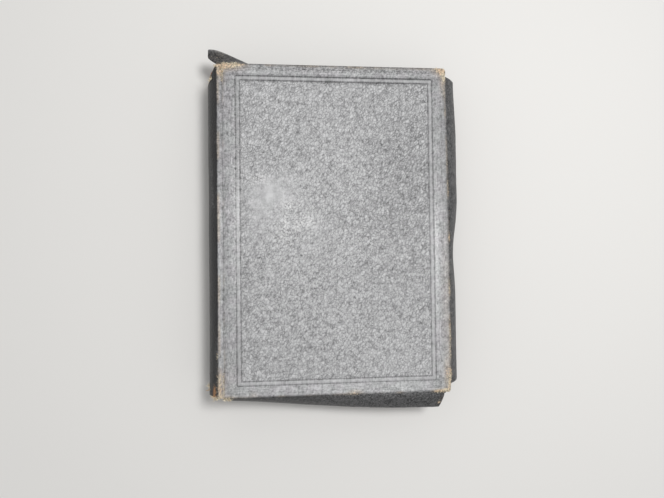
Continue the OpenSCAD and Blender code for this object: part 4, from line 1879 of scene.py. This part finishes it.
@dataclass
class Fray:
    """The loose fibres on one body, at its worn corners and edges."""

    finishes: Finishes
    name: str
    body: str
    sites: tuple[FraySite, ...]
    thickness: float = 0.055
    spread: float = 0.85
    crowd: float = 2.6
    stray: float = 0.35
    lengths: tuple[float, float] = (0.55, 1.15)
    seed: int = 8

    def build(self) -> bpy.types.Object:
        """Makes the fibres.

        Returns:
            The finished piece.
        """
        points, leans, lengths = [], [], []
        for number, site in enumerate(self.sites):
            count = round(site.count * self.crowd)
            order = np.stack([np.arange(count), np.full(count, number), np.zeros(count, int)], axis=1)
            share = lattice(order, 77)[:, None]
            nudge = lattice(order + 9, 78)[:, None] - 0.5
            points.append(mix(np.array(site.start), np.array(site.end), share) + nudge * self.stray)
            leans.append(np.tile(site.lean, (count, 1)))
            lengths.append(site.length * mix(*self.lengths, lattice(order + 5, 79)))
        layers = {"lean": np.concatenate(leans), "reach": np.concatenate(lengths)}
        base = make_mesh(self.name, np.concatenate(points), [], layers)
        piece = self.tree().apply(base)
        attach(piece, self.body)
        return piece

    def tree(self) -> GeometryTree:
        """Returns the tree that stands a bent fibre on every point."""
        sizes = {"Thickness": self.thickness, "Spread": self.spread, "Seed": self.seed}
        tree = GeometryTree(self.name + "_fibres", sizes, self.finishes["leather_fibres"])
        given = tree.given
        bend = {"Resolution": 5, "Middle": (0.4 * MM, 0.0, 0.5 * MM), "End": (0.0, 0.25 * MM, MM)}
        spine = tree.node("GeometryNodeCurveQuadraticBezier", {}, {**bend, "Start": (0.0, 0.0, 0.0)})[0]
        radius = given["Thickness"] * MM
        ring = tree.node("GeometryNodeCurvePrimitiveCircle", {}, {"Resolution": 5, "Radius": radius})[0]
        inputs = {"Curve": spine, "Profile Curve": ring, "Fill Caps": True}
        fibre = tree.node("GeometryNodeCurveToMesh", {}, inputs)[0]
        limits = {"Min": (-1.0, -1.0, -1.0), "Max": (1.0, 1.0, 1.0), "Seed": given["Seed"]}
        stray = tree.node("FunctionNodeRandomValue", {"data_type": "FLOAT_VECTOR"}, limits)["Value"]
        wander = tree.scaled(stray, given["Spread"])
        aim = tree.vector("ADD", named_vector(tree, "lean"), wander)
        turn = tree.node("FunctionNodeAlignRotationToVector", {"axis": "Z"}, {"Vector": aim})["Rotation"]
        limits = {"Min": 0.5, "Max": 1.4, "Seed": given["Seed"] + 1}
        size = tree.node("FunctionNodeRandomValue", {"data_type": "FLOAT"}, limits)["Value"]
        reach = size * named_number(tree, "reach")
        scale = tree.node("ShaderNodeCombineXYZ", {}, {"X": reach, "Y": reach, "Z": reach})["Vector"]
        inputs = {"Points": given["Geometry"], "Instance": fibre, "Rotation": turn, "Scale": scale}
        tree.end(tree.node("GeometryNodeInstanceOnPoints", {}, inputs)[0])
        return tree


@dataclass
class SewnBand:
    """The thread sewn over a band at one end of the book's back."""

    plan: Plan
    finishes: Finishes
    node: str
    pitch: float = 0.62
    thread: float = 0.36
    line_n: int = 40
    line_share: float = 0.985

    def build(self) -> bpy.types.Object:
        """Makes the wraps of thread.

        Returns:
            The finished piece.
        """
        p = self.plan
        low, high = (np.array(v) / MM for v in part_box(self.node))
        middle_y = (low[1] + high[1]) / 2.0
        half = (high[2] - low[2]) / 2.0
        outer = p.spine_x - low[0]
        angle = math.asin(half / outer)
        inner = (p.spine_x - high[0]) / math.cos(angle)
        turn = np.linspace(-angle, angle, self.line_n) * self.line_share
        r = (inner + outer) / 2.0
        at_x, at_z = p.spine_x - r * np.cos(turn), p.middle + r * np.sin(turn)
        line = np.stack([at_x, np.full_like(turn, middle_y), at_z], axis=1)
        mesh = bpy.data.meshes.new(self.node + "_sewing")
        mesh.from_pydata((line * MM).tolist(), [(i, i + 1) for i in range(self.line_n - 1)], [])
        base = bpy.data.objects.new(mesh.name, mesh)
        bpy.context.scene.collection.objects.link(base)
        piece = self.tree((outer - inner) / 2.0, (high[1] - low[1]) / 2.0).apply(base)
        piece.data.shade_smooth()
        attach(piece, "book_block")
        return piece

    def tree(self, half_x: float, half_y: float) -> GeometryTree:
        """Returns the tree that lays wraps side by side along the band.

        Args:
            half_x: Half of the band's width.
            half_y: Half of the band's height.

        Returns:
            The tree.
        """
        sizes = {"Pitch": self.pitch, "Thread": self.thread, "Half width": half_x, "Half height": half_y}
        tree = GeometryTree(self.node + "_wraps", sizes, self.finishes["band_thread"])
        given = tree.given
        line = tree.node("GeometryNodeMeshToCurve", {}, {"Mesh": given["Geometry"]})[0]
        inputs = {"Curve": line, "Length": given["Pitch"] * MM}
        places = tree.node("GeometryNodeResampleCurve", {"mode": "LENGTH"}, inputs)[0]
        loop = tree.node("GeometryNodeCurvePrimitiveCircle", {}, {"Resolution": 14, "Radius": MM})[0]
        parts = {"X": given["Half width"], "Y": given["Half height"], "Z": 1.0}
        size = tree.node("ShaderNodeCombineXYZ", {}, parts)["Vector"]
        loop = tree.node("GeometryNodeTransform", {}, {"Geometry": loop, "Scale": size})[0]
        inputs = {"Resolution": 6, "Radius": given["Thread"] * MM}
        ring = tree.node("GeometryNodeCurvePrimitiveCircle", {}, inputs)[0]
        wrap = tree.node("GeometryNodeCurveToMesh", {}, {"Curve": loop, "Profile Curve": ring})[0]
        ahead = tree.node("GeometryNodeInputTangent")[0]
        settings = {"primary_axis": "Z", "secondary_axis": "Y"}
        inputs = {"Primary Axis": ahead, "Secondary Axis": (0.0, 1.0, 0.0)}
        turn = tree.node("FunctionNodeAxesToRotation", settings, inputs)["Rotation"]
        inputs = {"Points": places, "Instance": wrap, "Rotation": turn}
        wraps = tree.node("GeometryNodeInstanceOnPoints", {}, inputs)[0]
        number = tree.node("GeometryNodeInputIndex")[0]
        stripe = (number / 3.0).floor().remainder(2.0)
        settings = {"data_type": "FLOAT", "domain": "INSTANCE"}
        inputs = {"Geometry": wraps, "Name": "stripe", "Value": stripe}
        tree.end(tree.node("GeometryNodeStoreNamedAttribute", settings, inputs)[0])
        return tree


# The pages


@dataclass
class PageBlock:
    """The pages as one block, with a rounded back and a hollow fore edge."""

    plan: Plan
    finishes: Finishes
    hollow: float = 4.0
    corner_r: float = 3.0
    leaf_step: float = 0.26
    uneven: float = 0.11
    along_step: float = 1.25

    def build(self) -> bpy.types.Object:
        """Makes the block.

        Returns:
            The finished piece.
        """
        p = self.plan
        levels = np.linspace(p.page_low, p.page_high, round((p.page_high - p.page_low) / self.leaf_step))
        rise = levels - p.middle
        half = (p.page_high - p.page_low) / 2.0
        fore_r = (half**2 + self.hollow**2) / (2.0 * self.hollow)
        fore = p.page_x + fore_r - self.hollow - np.sqrt(fore_r**2 - rise**2)
        x, y = self.columns(fore, p.page_back(levels))
        z = np.broadcast_to(levels[:, None], x.shape)
        rows, wide = x.shape
        points = np.stack([x, y, z], axis=-1).reshape(-1, 3)
        faces = grid_faces(rows, wide).tolist()
        numbers = np.arange(rows * wide).reshape(rows, wide)
        faces += np.stack([numbers[:-1, -1], numbers[:-1, 0], numbers[1:, 0], numbers[1:, -1]], 1).tolist()
        faces += [numbers[0, ::-1].tolist(), numbers[-1, :].tolist()]
        edge = np.ones(len(points))
        edge[numbers[[0, -1], :].ravel()] = 0.0
        edge[numbers[:, [0, -1]].ravel()] = 0.0
        points, faces, edge = self.add_shoulders(points, faces, edge)
        piece = make_mesh("page_block", points, faces, {"cut_edge": edge})
        piece = self.leaf_tree().apply(piece)
        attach(piece, "book_block")
        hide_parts("text_block")
        return piece

    def columns(self, fore: Array, back: Array) -> tuple[Array, Array]:
        """Returns the lines up the block's sides, from the back's tail end round to its head end.

        Args:
            fore: Place of the fore edge at each level.
            back: Place of the rounded back at each level.

        Returns:
            Places across the book and places along it, with a column for each line.
        """
        p, r = self.plan, self.corner_r
        turn = np.linspace(0.0, math.pi / 2.0, 7)[1:-1]
        run = np.linspace(0.0, 1.0, round((p.page_x - back.min()) / self.along_step))
        fore_run = np.linspace(-1.0, 1.0, round(2.0 * p.page_y / self.along_step))
        columns: list[tuple[Array, Array]] = [
            (mix(back, fore - r, t), np.full_like(back, -p.page_y)) for t in run
        ]
        columns += [(fore - r + r * math.sin(t), np.full_like(back, -p.page_y + r - r * math.cos(t)))
                    for t in turn]
        columns += [(fore, np.full_like(back, t * (p.page_y - r))) for t in fore_run]
        columns += [(fore - r + r * math.cos(t), np.full_like(back, p.page_y - r + r * math.sin(t)))
                    for t in turn]
        columns += [(mix(fore - r, back, t), np.full_like(back, p.page_y)) for t in run]
        return np.stack([c[0] for c in columns], axis=1), np.stack([c[1] for c in columns], axis=1)

    def add_shoulders(
        self, points: Array, faces: list[list[int]], edge: Array
    ) -> tuple[Array, list[list[int]], Array]:
        """Adds the two ridges that the backs of the pages are hammered over into.

        Args:
            points: Points of the block.
            faces: Faces of the block.
            edge: The block's cut-edge attribute.

        Returns:
            The same three, with the ridges.
        """
        p = self.plan
        low, high = (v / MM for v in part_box("text_block"))
        for level, tip in ((p.page_high, high.z), (p.page_low, low.z)):
            z = np.linspace(level, tip, 6)
            arc = zip(p.page_back(z), z, strict=True)
            outline = [(p.shoulder_x, level), *arc, (p.shoulder_x, tip)]
            if level > p.middle:
                outline = outline[::-1]
            size, start = len(outline), len(points)
            ends = [[(a, side * p.page_y, b) for a, b in outline] for side in (-1.0, 1.0)]
            points = np.concatenate([points, *[np.array(e) for e in ends]])
            faces += [[start + i, start + (i + 1) % size, start + size + (i + 1) % size, start + size + i]
                      for i in range(size)]
            faces += [[start + i for i in range(size)][::-1], [start + size + i for i in range(size)]]
            edge = np.concatenate([edge, np.zeros(2 * size)])
        return points, faces, edge

    def leaf_tree(self) -> GeometryTree:
        """Returns a tree that sets each leaf's edge a little in or out of its neighbours'."""
        sizes = {"Leaf": 2.0 * self.leaf_step, "Unevenness": self.uneven, "Seed": 4}
        tree = GeometryTree("leaf_edges", sizes, self.finishes["page_edges"])
        place = tree.scaled(tree.node("GeometryNodeInputPosition")[0], 1.0 / MM)
        z = tree.node("ShaderNodeSeparateXYZ", {}, {0: place})["Z"]
        leaf = (z / tree.given["Leaf"]).floor() + tree.given["Seed"]
        pick = tree.node("ShaderNodeTexWhiteNoise", {"noise_dimensions": "1D"}, {"W": leaf})["Value"]
        slow = tree.cloud(tree.vector("MULTIPLY", place, (0.02, 0.02, 0.5)), 1.0, 2.0)
        amount = (pick * 0.5 + slow - 1.0) * tree.given["Unevenness"] * named_number(tree, "cut_edge")
        push = tree.scaled(tree.node("GeometryNodeInputNormal")[0], amount * MM)
        inputs = {"Geometry": tree.given["Geometry"], "Offset": push}
        tree.end(tree.node("GeometryNodeSetPosition", {}, inputs)[0])
        return tree


# The studio


@dataclass(frozen=True)
class Studio:
    """The camera at the photograph's place, the lights, and the pale floor."""

    lens: float = 30.0
    sensor: float = 36.0
    camera_at: tuple[float, float, float] = (-32.0, -18.7, 329.0)
    camera_turn: tuple[float, float, float] = (1.58, -5.78, -0.68)
    floor_half: float = 3000.0
    key_at: tuple[float, float, float] = (170.0, 150.0, 700.0)
    key_size: float = 190.0
    key_power: float = 3.5
    world: float = 0.52
    backdrop: float = BACKDROP

    def build(self, finishes: Finishes) -> None:
        """Makes the camera, the lights, the world and the floor."""
        self.make_camera()
        self.make_lamp("key", self.key_at, self.key_size, self.key_power)
        self.make_world()
        half = self.floor_half
        corners = np.array([(-half, -half, 0), (half, -half, 0), (half, half, 0), (-half, half, 0)], float)
        floor = make_mesh("floor", corners, [[0, 1, 2, 3]])
        floor.data.materials.append(finishes["floor"])

    def make_camera(self) -> None:
        """Makes the camera and sets it as the scene's."""
        data = bpy.data.cameras.new("camera")
        data.lens = self.lens
        data.sensor_width = self.sensor
        data.clip_start, data.clip_end = 0.01, 20.0
        made = bpy.data.objects.new("camera", data)
        made.location = [v * MM for v in self.camera_at]
        made.rotation_euler = [math.radians(v) for v in self.camera_turn]
        bpy.context.scene.collection.objects.link(made)
        bpy.context.scene.camera = made

    def make_lamp(self, name: str, at: Sequence[float], size: float, power: float) -> None:
        """Makes a square lamp that faces the middle of the book."""
        data = bpy.data.lights.new(name, "AREA")
        data.shape = "SQUARE"
        data.size = size * MM
        data.energy = power
        made = bpy.data.objects.new(name, data)
        place = np.array(at) * MM
        made.location = place.tolist()
        away = Vector((-place).tolist())
        made.rotation_euler = away.to_track_quat("-Z", "Y").to_euler()
        bpy.context.scene.collection.objects.link(made)

    def make_world(self) -> None:
        """Makes the plain grey world."""
        world = bpy.data.worlds.new("world")
        world.use_nodes = True
        world.node_tree.nodes.clear()
        tree = Tree(world.node_tree)
        white = (1.0, 1.0, 1.0, 1.0)
        strength = mix_field(tree.shows_backdrop(), self.world, self.backdrop)
        inputs = {"Color": white, "Strength": strength}
        light = tree.node("ShaderNodeBackground", {}, inputs)["Background"]
        tree.node("ShaderNodeOutputWorld", {}, {"Surface": light})
        bpy.context.scene.world = world
        bpy.context.scene.view_settings.view_transform = "Standard"


FRONT_FRAY = (
    FraySite((-60.0, 89.4, 28.3), (-51.0, 89.7, 28.3), (-0.3, 0.8, 0.4), 46, 1.3),
    FraySite((-59.9, 88.5, 28.9), (-59.9, 80.0, 28.9), (-0.9, 0.2, 0.35), 22, 1.1),
    FraySite((57.0, 89.5, 28.0), (62.6, 89.3, 27.8), (0.4, 0.8, 0.2), 24, 1.2),
    FraySite((62.7, 89.0, 28.1), (62.7, 81.0, 28.2), (0.9, 0.2, 0.3), 22, 1.0),
    FraySite((54.0, -89.8, 28.0), (62.4, -89.6, 27.9), (0.4, -0.8, 0.2), 20, 1.1),
    FraySite((55.0, -90.0, 27.4), (61.5, -90.1, 27.0), (-0.9, -0.4, 0.1), 12, 1.8),
    FraySite((62.9, -89.0, 28.2), (63.7, -78.0, 28.2), (0.6, -0.6, 0.2), 26, 1.1),
    FraySite((63.8, -78.0, 28.2), (64.1, 0.0, 28.2), (0.7, 0.1, 0.6), 46, 0.7),
    FraySite((64.1, 0.0, 28.2), (63.2, 60.0, 28.2), (0.7, 0.1, 0.6), 30, 0.7),
    FraySite((8.0, -89.9, 28.2), (13.0, -89.9, 28.2), (0.2, -0.9, 0.3), 10, 0.8),
    FraySite((-60.0, -89.9, 27.8), (-55.5, -89.9, 27.8), (-0.4, -0.9, 0.1), 16, 1.5),
    FraySite((-60.0, -88.5, 28.9), (-60.0, -76.0, 28.9), (-0.8, -0.2, 0.5), 36, 1.0),
)
BLOCK_FRAY = (
    FraySite((-66.0, -89.3, 24.5), (-63.0, -89.4, 28.0), (-0.3, -0.9, 0.2), 44, 1.6),
    FraySite((-63.0, -86.0, 28.4), (-63.2, -66.0, 28.4), (-0.7, -0.1, 0.6), 26, 0.9),
    FraySite((-68.3, -84.0, 17.0), (-68.0, -86.5, 19.0), (-1.0, -0.3, 0.3), 16, 1.9),
    FraySite((-64.4, 88.3, 27.8), (-62.9, 88.6, 28.4), (-0.5, 0.8, 0.2), 18, 1.2),
    FraySite((-66.2, 82.4, 25.5), (-67.6, 81.6, 21.0), (-0.4, 0.9, 0.1), 30, 1.1),
    FraySite((-68.2, 82.0, 18.0), (-68.2, 82.0, 8.0), (-0.4, 0.9, 0.0), 40, 1.1),
    FraySite((-67.2, 83.0, 6.0), (-65.2, 88.3, 2.0), (-0.5, 0.8, -0.1), 26, 1.1),
)


CAD_FINISHES: Mapping[str, str] = {
    "front_flyleaf": "flyleaf",
    "back_flyleaf": "flyleaf",
    "front_pastedown": "endpaper",
    "back_pastedown": "endpaper",
    "front_board": "board_card",
    "back_board": "board_card",
    "spine_mull": "mull_cloth",
    "spine_lining": "lining_paper",
    "head_band": "band_thread",
    "tail_band": "band_thread",
}


def dress_nodes(finishes: Finishes) -> None:
    """Gives each CAD node that stays in view its material."""
    for node, finish in CAD_FINISHES.items():
        data = frame["nodes"][node].data
        data.materials.clear()
        data.materials.append(finishes[finish])


def report(piece: bpy.types.Object) -> None:
    """Logs a finished piece and its number of faces."""
    LOG.info("%s: %d faces", piece.name, len(piece.data.polygons))


def main() -> None:
    logging.basicConfig(level=logging.INFO, format="%(name)s: %(message)s")
    plan = Plan.from_frame()
    finishes = Finishes()
    finishes.build()
    dress_nodes(finishes)
    Studio().build(finishes)

    front = CoverHide(
        plan,
        finishes,
        Cover.FRONT,
        wear_spots=FRONT_WEAR,
        sheen_spots=FRONT_SHEEN,
        smooth_spots=FRONT_SMOOTH,
        scuff_and_glint_spots=FRONT_SCUFFS_AND_GLINTS,
        flap_spots=FRONT_FLAP_WEAR,
    )
    back = CoverHide(plan, finishes, Cover.BACK, painted_sheen=0.2, wear_spots=BACK_WEAR)
    for maker, node in ((front, "front_leather"), (back, "back_leather")):
        cover = maker.cover
        for layer in (maker, TurnIn(plan, finishes, cover)):
            piece = layer.build()
            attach(piece, cover.value)
            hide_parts(node)
            report(piece)
        half = SpineHide(plan, finishes, cover).build()
        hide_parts("spine_leather")
        report(half)
        report(JointStrip(plan, finishes, cover).build())
    report(PageBlock(plan, finishes).build())
    for band in ("head_band", "tail_band"):
        report(SewnBand(plan, finishes, band).build())
    report(Fray(finishes, "front_fray", Cover.FRONT.value, FRONT_FRAY).build())
    report(Fray(finishes, "spine_fray", "book_block", BLOCK_FRAY).build())


if __name__ == "__main__":
    main()
